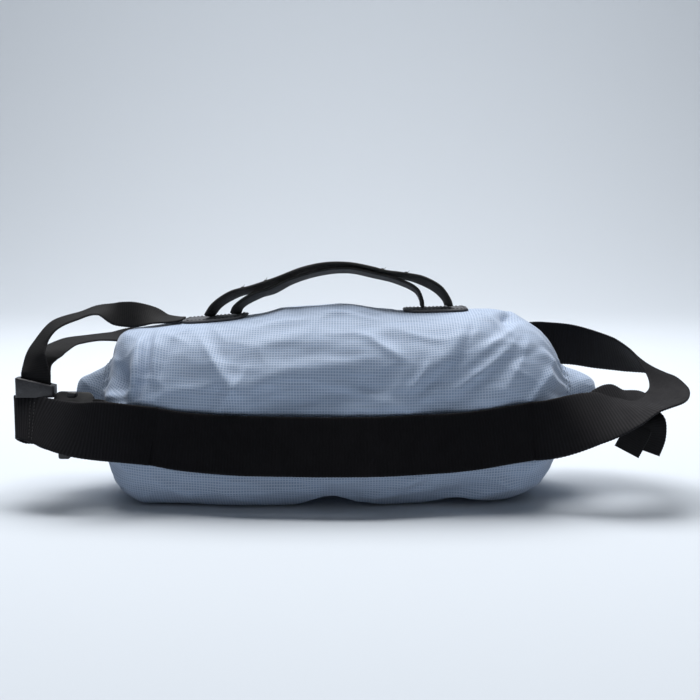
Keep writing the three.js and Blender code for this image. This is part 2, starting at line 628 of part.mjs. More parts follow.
// Upper left strap: from the left patch over the corner of the bag down to the belt's end
const upperLeft = routeFrom([
  [-0.69, -0.03, 0.925, 0, 1, 0, 1],
  [-0.76, -0.03, 0.93, 0, 0.97, 0.2, 1],
  [-0.83, 0, 0.945, 0, 0.75, 0.6, 1],
  [-0.91, 0, 0.952, 0, 0.45, 0.88, 1],
  [-0.97, -0.03, 0.957, 0.2, 0.5, 0.75, 0.95],
  [-1.05, -0.06, 0.977, 0.2, 0.95, 0.25, 1],
  [-1.13, -0.13, 0.952, 0.2, 0.95, 0.25, 1],
  [-1.23, -0.23, 0.905, -0.3, 0.9, 0.25, 1],
  [-1.284, -0.34, 0.824, -0.5, 0.85, 0.2, 1],
  [-1.298, -0.46, 0.755, -0.8, 0.6, 0, 1],
  [-1.287, -0.54, 0.68, -1, 0.05, 0, 1],
  [-1.287, -0.54, 0.63, -1, 0, 0, 1],
  [-1.287, -0.54, 0.564, -1, 0, 0, 1],
]);
const lowerLeft = routeFrom([
  [-0.79, 0.8, 0.755, 0, 0, 1, 1],
  [-0.87, 0.82, 0.765, 0, 0.15, 0.98, 1],
  [-0.96, 0.83, 0.785, 0, 0.6, 0.8, 1],
  [-1.05, 0.73, 0.797, 0, 0.97, 0.18, 1],
  [-1.155, 0.55, 0.797, 0, 0.94, 0.28, 1],
  [-1.222, 0.28, 0.787, -0.15, 0.88, 0.42, 1],
  [-1.26, -0.06, 0.757, -0.35, 0.76, 0.52, 1],
  [-1.275, -0.26, 0.735, -0.6, 0.6, 0.5, 1],
  [-1.29, -0.45, 0.69, -1, 0, 0, 1],
  [-1.287, -0.495, 0.65, -1, 0, 0, 1],
  [-1.287, -0.5, 0.564, -1, 0, 0, 1],
]);
const onTop = (point) => {
  if (point.x < -0.8 * halfLength) return point;
  return point.clone().setZ(Math.max(point.z, topAt(point.x, point.y) + seatGap + sideStrapThickness));
};
const upperFrames = strapFrames(upperLeft, 40, onTop);
addPiece("strap_upper_left", band(upperFrames, sideStrapWidth, sideStrapThickness), webbing);
const lowerFrames = strapFrames(lowerLeft, 36, clearOfBag(sideStrapWidth, sideStrapThickness));
addPiece("strap_lower_left", band(lowerFrames, sideStrapWidth, sideStrapThickness), webbing);

// Flat plastic loop that gathers both side straps on the belt's upper edge
const keeperLength = 27;
const strapEnd = upperFrames[upperFrames.length - 1].point;
const lowerEnd = lowerFrames[lowerFrames.length - 1].point;
const keeperSlot = {
  length: sideStrapWidth + 2 * seatGap,
  depth: Math.abs(strapEnd.y - lowerEnd.y) + sideStrapThickness + 6 * seatGap,
};
const keeperDepth = keeperSlot.depth + 2 * keeperWall;
const keeperShape = plate(keeperLength, keeperDepth, keeperHeight, keeperWall,
  { length: keeperSlot.length, height: keeperSlot.depth });
keeperShape.rotateX(Math.PI / 2);
const keeper = addPiece("strap_keeper", keeperShape, plastic);
keeper.position.set(strapEnd.x, (strapEnd.y + lowerEnd.y) / 2, strapEnd.z + gap + keeperHeight / 2);

export default pack;
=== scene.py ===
"""Dresses the hip pack: ripstop bag, carry handle, waist belt, side straps, hardware and a plain studio.

Metres. +X is the pack's length to the right, +Y points away from the belt side, +Z is up.
"""
import logging
import math
from collections.abc import Callable, Sequence
from dataclasses import dataclass, field
from enum import Enum

import bmesh
import bpy
import numpy as np
from mathutils import Matrix, Vector, noise


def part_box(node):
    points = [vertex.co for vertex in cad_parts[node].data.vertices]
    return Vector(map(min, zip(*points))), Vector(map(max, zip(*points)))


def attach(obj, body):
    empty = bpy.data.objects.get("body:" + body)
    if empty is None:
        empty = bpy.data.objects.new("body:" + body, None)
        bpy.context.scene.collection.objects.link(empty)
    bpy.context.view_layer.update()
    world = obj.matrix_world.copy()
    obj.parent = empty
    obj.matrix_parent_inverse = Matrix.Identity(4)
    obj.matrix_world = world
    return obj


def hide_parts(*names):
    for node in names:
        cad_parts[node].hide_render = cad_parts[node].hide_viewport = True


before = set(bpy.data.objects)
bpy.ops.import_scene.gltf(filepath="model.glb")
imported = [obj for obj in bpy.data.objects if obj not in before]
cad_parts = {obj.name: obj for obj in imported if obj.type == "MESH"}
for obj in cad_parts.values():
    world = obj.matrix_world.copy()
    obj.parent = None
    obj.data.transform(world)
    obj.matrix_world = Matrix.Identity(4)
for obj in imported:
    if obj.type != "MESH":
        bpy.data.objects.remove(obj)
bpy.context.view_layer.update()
log = logging.getLogger("hip_pack")

MM = 0.001
BODY = "root"
BELT_RIB = 2.1 * MM
STRAP_RIB = 1.5 * MM
HANDLE_RIB = 1.3 * MM
Rows = Sequence[Sequence[float]]
Colour = tuple[float, float, float]


class Side(Enum):
    """The walls of the bag that folds lie on."""

    NEAR = "near"
    FAR = "far"
    TOP = "top"


class Seat(Enum):
    """What a strap is kept clear of."""

    FREE = "free"
    WALL = "wall"
    TOP = "top"


@dataclass
class Frames:
    """The frames of a strap at even steps along it, one row of each array for a step."""

    point: np.ndarray
    ahead: np.ndarray
    side: np.ndarray
    out: np.ndarray
    along: np.ndarray

    def part(self, start: int, end: int) -> "Frames":
        """The frames of a stretch of the strap."""
        columns = (self.point, self.ahead, self.side, self.out, self.along)
        return Frames(*(column[start:end] for column in columns))

    def at(self, share: float) -> tuple[Vector, Vector, Vector, Vector]:
        """The point and the directions ahead, across and out at a share of the strap's length."""
        i = int(round(share * (len(self.point) - 1)))
        return tuple(Vector(a[i]) for a in (self.point, self.ahead, self.side, self.out))


def unit(v: np.ndarray) -> np.ndarray:
    """The rows of v at length one."""
    return v / np.maximum(np.linalg.norm(v, axis=-1, keepdims=True), 1e-9)


def smooth_step(low: float, high: float, x: np.ndarray) -> np.ndarray:
    """0 below low, 1 above high and a soft step between them."""
    t = np.clip((x - low) / (high - low), 0, 1)
    return t * t * (3 - 2 * t)


def run_of(points: np.ndarray) -> np.ndarray:
    """The distance from the start of a line of points to each of them."""
    return np.concatenate([[0], np.cumsum(np.linalg.norm(np.diff(points, axis=0), axis=1))])


def rows_at(places: np.ndarray, run: np.ndarray, rows: np.ndarray) -> np.ndarray:
    """Rows of values at places along a run, between the rows that are given."""
    return np.stack([np.interp(places, run, rows[:, k]) for k in range(rows.shape[1])], -1)


def fold_shares(dx: np.ndarray, dv: np.ndarray, along: float, across: float,
                turn: float) -> tuple[np.ndarray, np.ndarray]:
    """Distances along and across a turned fold, as shares of its sizes.

    Args:
        dx: Metres along X from its middle.
        dv: Metres up from its middle, or away from the middle on top.
        along: Its half length, in millimetres.
        across: Its half width, in millimetres.
        turn: Its slope in degrees.

    Returns:
        The shares along and across, 1 at its half length and half width.
    """
    cos, sin = math.cos(math.radians(turn)), math.sin(math.radians(turn))
    return (dx * cos + dv * sin) / (along * MM), (dv * cos - dx * sin) / (across * MM)


def catmull_rom(points: np.ndarray, count: int) -> np.ndarray:
    """A centripetal curve through points.

    Args:
        points: The points, one in each row.
        count: How many samples to give.

    Returns:
        The samples, evenly spaced in the curve's own measure.
    """
    before = 2 * points[0] - points[1]
    after = 2 * points[-1] - points[-2]
    p = np.vstack([before, points, after])
    t = np.linspace(0, len(points) - 1, count)
    i = np.minimum(t.astype(int), len(points) - 2)
    w = (t - i)[:, None]
    p0, p1, p2, p3 = p[i], p[i + 1], p[i + 2], p[i + 3]
    gap = [np.maximum(np.linalg.norm(b - a, axis=1, keepdims=True) ** 0.5, 1e-4)
           for a, b in ((p0, p1), (p1, p2), (p2, p3))]
    start = ((p1 - p0) / gap[0] - (p2 - p0) / (gap[0] + gap[1]) + (p2 - p1) / gap[1]) * gap[1]
    end = ((p2 - p1) / gap[1] - (p3 - p1) / (gap[1] + gap[2]) + (p3 - p2) / gap[2]) * gap[1]
    square = 3 * (p2 - p1) - 2 * start - end
    cube = 2 * (p1 - p2) + start + end
    return p1 + start * w + square * w**2 + cube * w**3


def placed(name: str, mesh: bpy.types.Mesh) -> bpy.types.Object:
    """A smoothly shaded mesh as an object in the scene."""
    mesh.polygons.foreach_set("use_smooth", [True] * len(mesh.polygons))
    mesh.update()
    piece = bpy.data.objects.new(name, mesh)
    bpy.context.scene.collection.objects.link(piece)
    return piece


def make_object(name: str, vertices: np.ndarray, faces: list) -> bpy.types.Object:
    """A mesh object from plain lists.

    Args:
        name: The piece's name.
        vertices: One vertex in each row.
        faces: Lists of vertex numbers.

    Returns:
        The new object, in the scene.
    """
    mesh = bpy.data.meshes.new(name)
    mesh.from_pydata([tuple(v) for v in np.asarray(vertices).tolist()], [], faces)
    return placed(name, mesh)


def make_skin(name: str, rings: np.ndarray, u: np.ndarray, v: np.ndarray) -> bpy.types.Object:
    """A closed skin through rings of points, with both ends closed.

    Args:
        name: The piece's name.
        rings: Points as ring, place in the ring, coordinate.
        u: The first cloth coordinate at each ring and place, with one place more than the ring has.
        v: The second cloth coordinate, likewise.

    Returns:
        The new object, whose UV map holds the cloth coordinates in metres.
    """
    count, around, _ = rings.shape
    i, j = np.meshgrid(np.arange(count - 1), np.arange(around), indexing="ij")
    after = (j + 1) % around
    near, far = i * around, (i + 1) * around
    quads = np.stack([near + j, near + after, far + after, far + j], -1)
    faces = quads.reshape(-1, 4).tolist()
    faces.append(list(range(around))[::-1])
    faces.append([(count - 1) * around + k for k in range(around)])
    piece = make_object(name, rings.reshape(-1, 3), faces)
    corners = ((0, 0), (0, 1), (1, 1), (1, 0))
    uv = np.stack([np.stack([u[i + a, j + b], v[i + a, j + b]], -1) for a, b in corners], 2)
    ends = [np.stack([u[k, :around], v[k, :around]], -1) for k in (0, count - 1)]
    flat = np.concatenate([uv.reshape(-1, 2), ends[0][::-1], ends[1]])
    layer = piece.data.uv_layers.new(name="UVMap")
    layer.data.foreach_set("uv", flat.astype(np.float32).ravel())
    turn_out(piece)
    return piece


def turn_out(piece: bpy.types.Object) -> None:
    """Turns the faces of a closed piece so that they point out."""
    work = bmesh.new()
    work.from_mesh(piece.data)
    if work.calc_volume(signed=True) < 0:
        bmesh.ops.reverse_faces(work, faces=work.faces)
        work.to_mesh(piece.data)
    work.free()


def join_parts(name: str, parts: list[tuple[np.ndarray, list]]) -> bpy.types.Object:
    """One object from several lots of vertices and faces.

    Args:
        name: The piece's name.
        parts: Vertices and faces of each lot.

    Returns:
        The new object.
    """
    vertices, faces, start = [], [], 0
    for points, polygons in parts:
        vertices.append(np.asarray(points))
        faces.extend([[k + start for k in polygon] for polygon in polygons])
        start += len(points)
    return make_object(name, np.concatenate(vertices), faces)


def tube(path: np.ndarray, radius: float, sides: int = 6) -> tuple[np.ndarray, list]:
    """A round tube along a path, pointed at both ends like a pulled stitch.

    Args:
        path: Points of the path, one in each row.
        radius: The tube's radius.
        sides: How many sides it has.

    Returns:
        Its vertices and faces.
    """
    upright, tip_share = 0.8, 0.45
    ahead = unit(np.gradient(path, axis=0))
    helper = np.array([0.0, 0.0, 1.0]) if abs(ahead[0][2]) < upright else np.array([1.0, 0.0, 0.0])
    left = unit(np.cross(ahead, helper))
    up = np.cross(left, ahead)
    angles = np.linspace(0, 2 * math.pi, sides, endpoint=False)
    swell = np.full(len(path), radius)
    swell[[0, -1]] *= tip_share
    rings = (path[:, None] + swell[:, None, None] * (np.cos(angles)[None, :, None] * left[:, None]
             + np.sin(angles)[None, :, None] * up[:, None]))
    faces = [[i + j, i + (j + 1) % sides, i + sides + (j + 1) % sides, i + sides + j]
             for i in range(0, (len(path) - 1) * sides, sides) for j in range(sides)]
    faces.append(list(range(sides))[::-1])
    faces.append([(len(path) - 1) * sides + j for j in range(sides)])
    return rings.reshape(-1, 3), faces


class NodeTree:
    """A short way to write the node tree of a material."""

    def __init__(self, name: str) -> None:
        """Starts a material with only its output node."""
        self.material = bpy.data.materials.new(name)
        self.material.use_nodes = True
        self.tree = self.material.node_tree
        self.tree.nodes.clear()
        self.output = self.tree.nodes.new("ShaderNodeOutputMaterial")

    def add(self, kind: str, settings: dict | None = None, **inputs: object) -> bpy.types.Node:
        """A node with its settings and input values.

        Args:
            kind: The node's type name.
            settings: Values of the node's own properties.
            inputs: Values or sockets for its inputs, by name with underscores for spaces, or by i and
                their number.

        Returns:
            The new node.
        """
        node = self.tree.nodes.new(kind)
        for name, value in (settings or {}).items():
            setattr(node, name, value)
        for name, value in inputs.items():
            numbered = name[0] == "i" and name[1:].isdigit()
            socket = node.inputs[int(name[1:]) if numbered else name.replace("_", " ")]
            if isinstance(value, bpy.types.NodeSocket):
                self.tree.links.new(value, socket)
            else:
                socket.default_value = value
        return node

    def math(self, operation: str, a: object, b: object = 0.0) -> bpy.types.NodeSocket:
        """The result of a math node on sockets or numbers."""
        return self.add("ShaderNodeMath", {"operation": operation}, i0=a, i1=b).outputs[0]

    def mix(self, share: object, a: object, b: object) -> bpy.types.NodeSocket:
        """The mix of two colours by a share."""
        return self.add("ShaderNodeMix", {"data_type": "RGBA"}, i0=share, i6=a, i7=b).outputs[2]

    def between(self, value: object, low: float, high: float, to_low: float = 0.0,
                to_high: float = 1.0) -> bpy.types.NodeSocket:
        """A value mapped from one range to another, held at its ends.

        Args:
            value: The socket to map.
            low: Start of the range.
            high: End of the range.
            to_low: What low becomes.
            to_high: What high becomes.

        Returns:
            The mapped value's socket.
        """
        node = self.add("ShaderNodeMapRange", None, i0=value, i1=low, i2=high, i3=to_low, i4=to_high)
        return node.outputs[0]

    def shader(self, colour: object, relief: object, strength: float, depth: float,
               roughness: object) -> bpy.types.Node:
        """The shader of a surface with fine relief.

        Args:
            colour: The socket of its colour.
            relief: The socket of its height.
            strength: How strongly the relief shows.
            depth: How deep the relief is, in metres.
            roughness: The socket of its roughness.

        Returns:
            The shader node.
        """
        bump = self.add("ShaderNodeBump", None, Strength=strength, Distance=depth, Height=relief)
        return self.add("ShaderNodeBsdfPrincipled", None, Base_Color=colour, Normal=bump.outputs[0],
                        Roughness=roughness)

    def cloth_place(self) -> tuple[bpy.types.NodeSocket, bpy.types.NodeSocket]:
        """The two cloth coordinates of the surface, in metres."""
        uv = self.add("ShaderNodeUVMap", {"uv_map": "UVMap"})
        parts = self.add("ShaderNodeSeparateXYZ", None, i0=uv.outputs[0])
        return parts.outputs[0], parts.outputs[1]

    def object_place(self) -> bpy.types.NodeSocket:
        """The place in the object's own frame, in metres."""
        return self.add("ShaderNodeTexCoord").outputs["Object"]

    def noise(self, scale: float, detail: float = 2.0, roughness: float = 0.5) -> bpy.types.NodeSocket:
        """Noise over the object at a scale in cells for each metre."""
        node = self.add("ShaderNodeTexNoise", None, Vector=self.object_place(), Scale=scale, Detail=detail,
                        Roughness=roughness)
        return node.outputs[0]

    def finish(self, shader: bpy.types.Node) -> bpy.types.Material:
        """Links the shader to the output and gives the material."""
        self.tree.links.new(shader.outputs[0], self.output.inputs[0])
        return self.material


def rgba(colour: Colour, gain: float = 1.0) -> tuple[float, float, float, float]:
    """A colour with a full alpha, made lighter or darker by gain."""
    return (colour[0] * gain, colour[1] * gain, colour[2] * gain, 1.0)


@dataclass(frozen=True)
class RipstopCloth:
    """Thin pale nylon with a fine raised grid of thicker threads; the cells between the threads are painted
    darker, as shade in their hollows.
    """

    colour: Colour = (0.42, 0.495, 0.62)
    # painted shade: the colour of the cells between the raised threads, darker as if in shade
    shaded_cell: Colour = (0.205, 0.272, 0.395)
    pitch: float = 1.9 * MM
    thread: float = 0.56 * MM
    wander: float = 0.2 * MM
    wander_scale: float = 140.0
    nap_scale: float = 2600.0
    fading_scale: float = 16.0
    streaks: tuple[float, float] = (34.0, 420.0)
    streak_gain: float = 1.28
    worn: float = 0.16
    worn_gain: float = 1.12
    grid_height: float = 0.9
    nap_height: float = 0.18
    bump: float = 0.55
    bump_depth: float = 0.16 * MM
    roughness: float = 0.62
    cell_roughness: float = 0.72

    def material(self) -> bpy.types.Material:
        """The cloth's material."""
        t = NodeTree("ripstop_cloth")
        u, v = t.cloth_place()
        wander = t.math("MULTIPLY", t.math("SUBTRACT", t.noise(self.wander_scale, 1.0), 0.5), self.wander)
        lines = []
        for place in (u, v):
            far = t.math("PINGPONG", t.math("ADD", place, wander), self.pitch / 2)
            lines.append(t.between(far, self.thread * 0.25, self.thread * 0.8, 1.0, 0.0))
        grid = t.math("MAXIMUM", lines[0], lines[1])
        nap = t.noise(self.nap_scale, 1.0)
        fading = t.noise(self.fading_scale, 3.0, 0.6)
        drawn = t.add("ShaderNodeCombineXYZ", None, i0=t.math("MULTIPLY", u, self.streaks[0]),
                      i1=t.math("MULTIPLY", v, self.streaks[1]))
        streak = t.add("ShaderNodeTexNoise", {"noise_dimensions": "2D"}, Scale=1.0, Detail=2.0,
                       Vector=drawn.outputs[0])
        streaky = t.between(streak.outputs[0], 0.35, 0.7)
        # painted shade in the cells of the grid, lighter in random streaks
        shaded_cells = t.mix(streaky, rgba(self.shaded_cell), rgba(self.shaded_cell, self.streak_gain))
        base = t.mix(grid, shaded_cells, rgba(self.colour))
        worn = t.mix(t.between(fading, 0.35, 0.75, 0.0, self.worn), base, rgba(self.colour, self.worn_gain))
        relief = t.math("ADD", t.math("MULTIPLY", grid, self.grid_height),
                        t.math("MULTIPLY", nap, self.nap_height))
        rough = t.between(grid, 0.0, 1.0, self.cell_roughness, self.roughness)
        shader = t.shader(worn, relief, self.bump, self.bump_depth, rough)
        shader.inputs["Sheen Weight"].default_value = 0.25
        shader.inputs["Sheen Roughness"].default_value = 0.45
        shader.inputs["Specular IOR Level"].default_value = 0.35
        return t.finish(shader)


@dataclass(frozen=True)
class Webbing:
    """Black woven strap with ribs across it, paler where its edges rub, with painted light on its rib crests
    and on the near faces of the belt's ends.
    """

    name: str
    colour: Colour
    rub: Colour
    half_width: float
    pitch: float
    roughness: float = 0.72
    # painted light: how much the near faces of the strap's ends are lightened
    lit_ends: float = 0.0
    warp_pitch: float = 0.45 * MM
    twill_pitch: float = 0.5 * MM
    twill_slope: float = 0.8
    patch_scale: float = 70.0
    nap_scale: float = 3200.0
    # painted light on the ends: where it begins along X, and the depths over which it fades on the near side
    lit_ends_from: tuple[float, float] = (0.13, 0.19)
    lit_ends_depth: tuple[float, float] = (-0.02, 0.03)
    heights: tuple[float, float, float, float] = (0.5, 700.0, 500.0, 0.35)
    bump: float = 0.6
    bump_depth: float = 0.2 * MM

    def material(self) -> bpy.types.Material:
        """The webbing's material."""
        t = NodeTree(self.name)
        u, v = t.cloth_place()
        rib = t.between(t.math("PINGPONG", u, self.pitch / 2), 0.0, self.pitch / 2)
        warp = t.math("PINGPONG", v, self.warp_pitch)
        slanted = t.math("ADD", u, t.math("MULTIPLY", v, self.twill_slope))
        twill = t.math("PINGPONG", slanted, self.twill_pitch)
        edge = t.between(t.math("ABSOLUTE", v), self.half_width * 0.9, self.half_width)
        patchy = t.between(t.noise(self.patch_scale, 4.0, 0.65), 0.42, 0.72)
        # painted light and shade: lighter on the ribs' crests, darker in the hollows between them
        rib_shaded = t.mix(rib, rgba(self.colour, 0.6), rgba(self.colour, 1.25))
        place = t.add("ShaderNodeSeparateXYZ", None, i0=t.object_place()).outputs
        # painted light: the near faces of the ends, past 0.13 to 0.19 m from the middle, are lightened, most
        # on the rib crests
        ends = t.math("MULTIPLY", t.between(t.math("ABSOLUTE", place[0]), *self.lit_ends_from),
                      t.between(place[1], *self.lit_ends_depth, self.lit_ends, 0.0))
        end_light = t.math("MULTIPLY", ends, t.between(rib, 0.0, 1.0, 0.25, 1.0))
        lit_end_tone = t.mix(end_light, rib_shaded, rgba(self.rub, 2.2))
        cloth = t.mix(t.math("MULTIPLY", patchy, 0.3), lit_end_tone, rgba(self.rub))
        rubbed = t.math("MULTIPLY", edge, t.between(patchy, 0.0, 1.0, 0.25, 0.7))
        worn = t.mix(rubbed, cloth, rgba(self.rub, 1.5))
        layers = [t.math("MULTIPLY", layer, height)
                  for layer, height in zip((rib, twill, warp, t.noise(self.nap_scale)), self.heights)]
        relief = t.math("ADD", t.math("ADD", *layers[:2]), t.math("ADD", *layers[2:]))
        rough = t.between(patchy, 0.0, 1.0, self.roughness, self.roughness + 0.12)
        shader = t.shader(worn, relief, self.bump, self.bump_depth, rough)
        shader.inputs["Sheen Weight"].default_value = 0.02
        shader.inputs["Sheen Roughness"].default_value = 0.5
        shader.inputs["Specular IOR Level"].default_value = 0.11
        return t.finish(shader)


@dataclass(frozen=True)
class WovenPatch:
    """Charcoal cloth of the patches and the zip tape, in a close plain weave."""

    name: str
    colour: Colour
    pitch: float = 0.8 * MM

    def material(self) -> bpy.types.Material:
        """The woven cloth's material."""
        t = NodeTree(self.name)
        place = t.add("ShaderNodeSeparateXYZ", None, i0=t.object_place())
        threads = [t.between(t.math("PINGPONG", place.outputs[k], self.pitch / 2), 0.0, self.pitch / 2)
                   for k in (0, 1)]
        weave = t.math("MULTIPLY", threads[0], threads[1])
        patchy = t.between(t.noise(60.0, 3.0), 0.4, 0.7)
        base = t.mix(weave, rgba(self.colour, 0.75), rgba(self.colour, 1.3))
        worn = t.mix(t.math("MULTIPLY", patchy, 0.35), base, rgba(self.colour, 1.8))
        shader = t.shader(worn, weave, 0.5, 0.15 * MM, t.between(patchy, 0.0, 1.0, 0.7, 0.85))
        shader.inputs["Sheen Weight"].default_value = 0.15
        return t.finish(shader)


@dataclass(frozen=True)
class MouldedPlastic:
    """Satin moulded plastic with a fine grain, rubbed paler in patches."""

    name: str
    colour: Colour
    rub: Colour
    roughness: float = 0.42

    def material(self) -> bpy.types.Material:
        """The plastic's material."""
        t = NodeTree(self.name)
        grain = t.noise(2400.0, 2.0, 0.6)
        rubbed = t.between(t.noise(110.0, 4.0, 0.7), 0.5, 0.75)
        base = t.mix(t.math("MULTIPLY", rubbed, 0.6), rgba(self.colour), rgba(self.rub))
        rough = t.between(rubbed, 0.0, 1.0, self.roughness, self.roughness + 0.16)
        return t.finish(t.shader(base, grain, 0.25, 0.08 * MM, rough))


@dataclass(frozen=True)
class Thread:
    """Twisted sewing thread."""

    name: str
    colour: Colour

    def material(self) -> bpy.types.Material:
        """The thread's material."""
        t = NodeTree(self.name)
        twist = t.noise(1500.0, 1.0)
        base = t.mix(twist, rgba(self.colour, 0.7), rgba(self.colour, 1.4))
        shader = t.add("ShaderNodeBsdfPrincipled", None, Base_Color=base,
                       Roughness=t.between(twist, 0, 1, 0.5, 0.75))
        return t.finish(shader)


@dataclass(frozen=True)
class StudioPaint:
    """Matt pale paint of the floor and the wall behind it, with painted shade: darker at the front,
    lightening towards the wall.
    """

    colour: Colour
    # painted shade: the share of the colour left at the front of the floor
    near: float = 0.95
    shade_fades_by: float = 1.8

    def material(self) -> bpy.types.Material:
        """The paint's material."""
        t = NodeTree("studio_paint")
        depth = t.add("ShaderNodeSeparateXYZ", None, i0=t.object_place()).outputs[1]
        # painted shade: darker at the front of the floor, lightening towards the wall
        tone = t.mix(t.between(depth, 0.0, self.shade_fades_by), rgba(self.colour, self.near), rgba(self.colour))
        rough = t.between(t.noise(3.0), 0.0, 1.0, 0.85, 0.95)
        shader = t.add("ShaderNodeBsdfPrincipled", None, Base_Color=tone, Roughness=rough)
        shader.inputs["Specular IOR Level"].default_value = 0.2
        return t.finish(shader)


@dataclass
class Wardrobe:
    """Every finish of the pack, made once."""

    belt_width: float = 40 * MM
    side_width: float = 20 * MM
    handle_width: float = 22 * MM

    def __post_init__(self) -> None:
        """Makes the materials."""
        black, rub = (0.0032, 0.0028, 0.0038), (0.0135, 0.013, 0.0145)
        self.ripstop = RipstopCloth().material()
        # the belt gets painted light on the near faces of its ends
        self.belt = Webbing("belt_webbing", black, rub, self.belt_width / 2, BELT_RIB,
                            lit_ends=0.6).material()
        self.strap = Webbing("side_webbing", (0.009, 0.0088, 0.0095), (0.026, 0.025, 0.027),
                             self.side_width / 2, STRAP_RIB).material()
        self.handle = Webbing("handle_webbing", (0.011, 0.0105, 0.011), (0.04, 0.038, 0.036),
                              self.handle_width / 2, HANDLE_RIB).material()
        self.patch = WovenPatch("patch_cloth", (0.035, 0.037, 0.045)).material()
        self.tape = WovenPatch("zip_tape", (0.05, 0.055, 0.068), 0.6 * MM).material()
        self.plastic = MouldedPlastic("hardware_plastic", (0.013, 0.013, 0.014),
                                      (0.03, 0.03, 0.032)).material()
        self.keeper = MouldedPlastic("keeper_plastic", (0.028, 0.027, 0.03), (0.1, 0.098, 0.112),
                                     0.36).material()
        self.black_thread = Thread("black_thread", (0.016, 0.016, 0.018)).material()
        self.pale_thread = Thread("pale_thread", (0.2, 0.25, 0.33)).material()


def dress(piece: bpy.types.Object, material: bpy.types.Material, slot: str,
          *nodes: str) -> bpy.types.Object:
    """Gives a piece its finish and its place on the pack.

    Args:
        piece: The piece.
        material: Its finish.
        slot: A material slot's name; not used.
        nodes: The CAD nodes that it stands for.

    Returns:
        The same piece.
    """
    piece.data.materials.clear()
    piece.data.materials.append(material)
    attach(piece, BODY)
    if nodes:
        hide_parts(*nodes)
    log.info("%s: %d faces", piece.name, len(piece.data.polygons))
    return piece


def stitches(track: np.ndarray, out: np.ndarray, pitch: float,
             radius: float) -> list[tuple[np.ndarray, list]]:
    """A row of sewn stitches along a line on a surface.

    Args:
        track: Points of the seam line, one in each row.
        out: The surface's outward direction at each point.
        pitch: The distance from one stitch to the next.
        radius: The thread's radius.

    Returns:
        Vertices and faces of each stitch.
    """
    run = run_of(track)
    # a stitch's points: shares of the pitch, and heights in thread radii
    shares = np.array([0.12, 0.3, 0.5, 0.7, 0.88])
    arch = np.array([-0.5, 0.55, 0.9, 0.55, -0.5])[:, None] * radius
    made = []
    for k in range(max(int(run[-1] / pitch), 1)):
        places = pitch * (k + shares)
        made.append(tube(rows_at(places, run, track) + rows_at(places, run, out) * arch, radius))
    return made


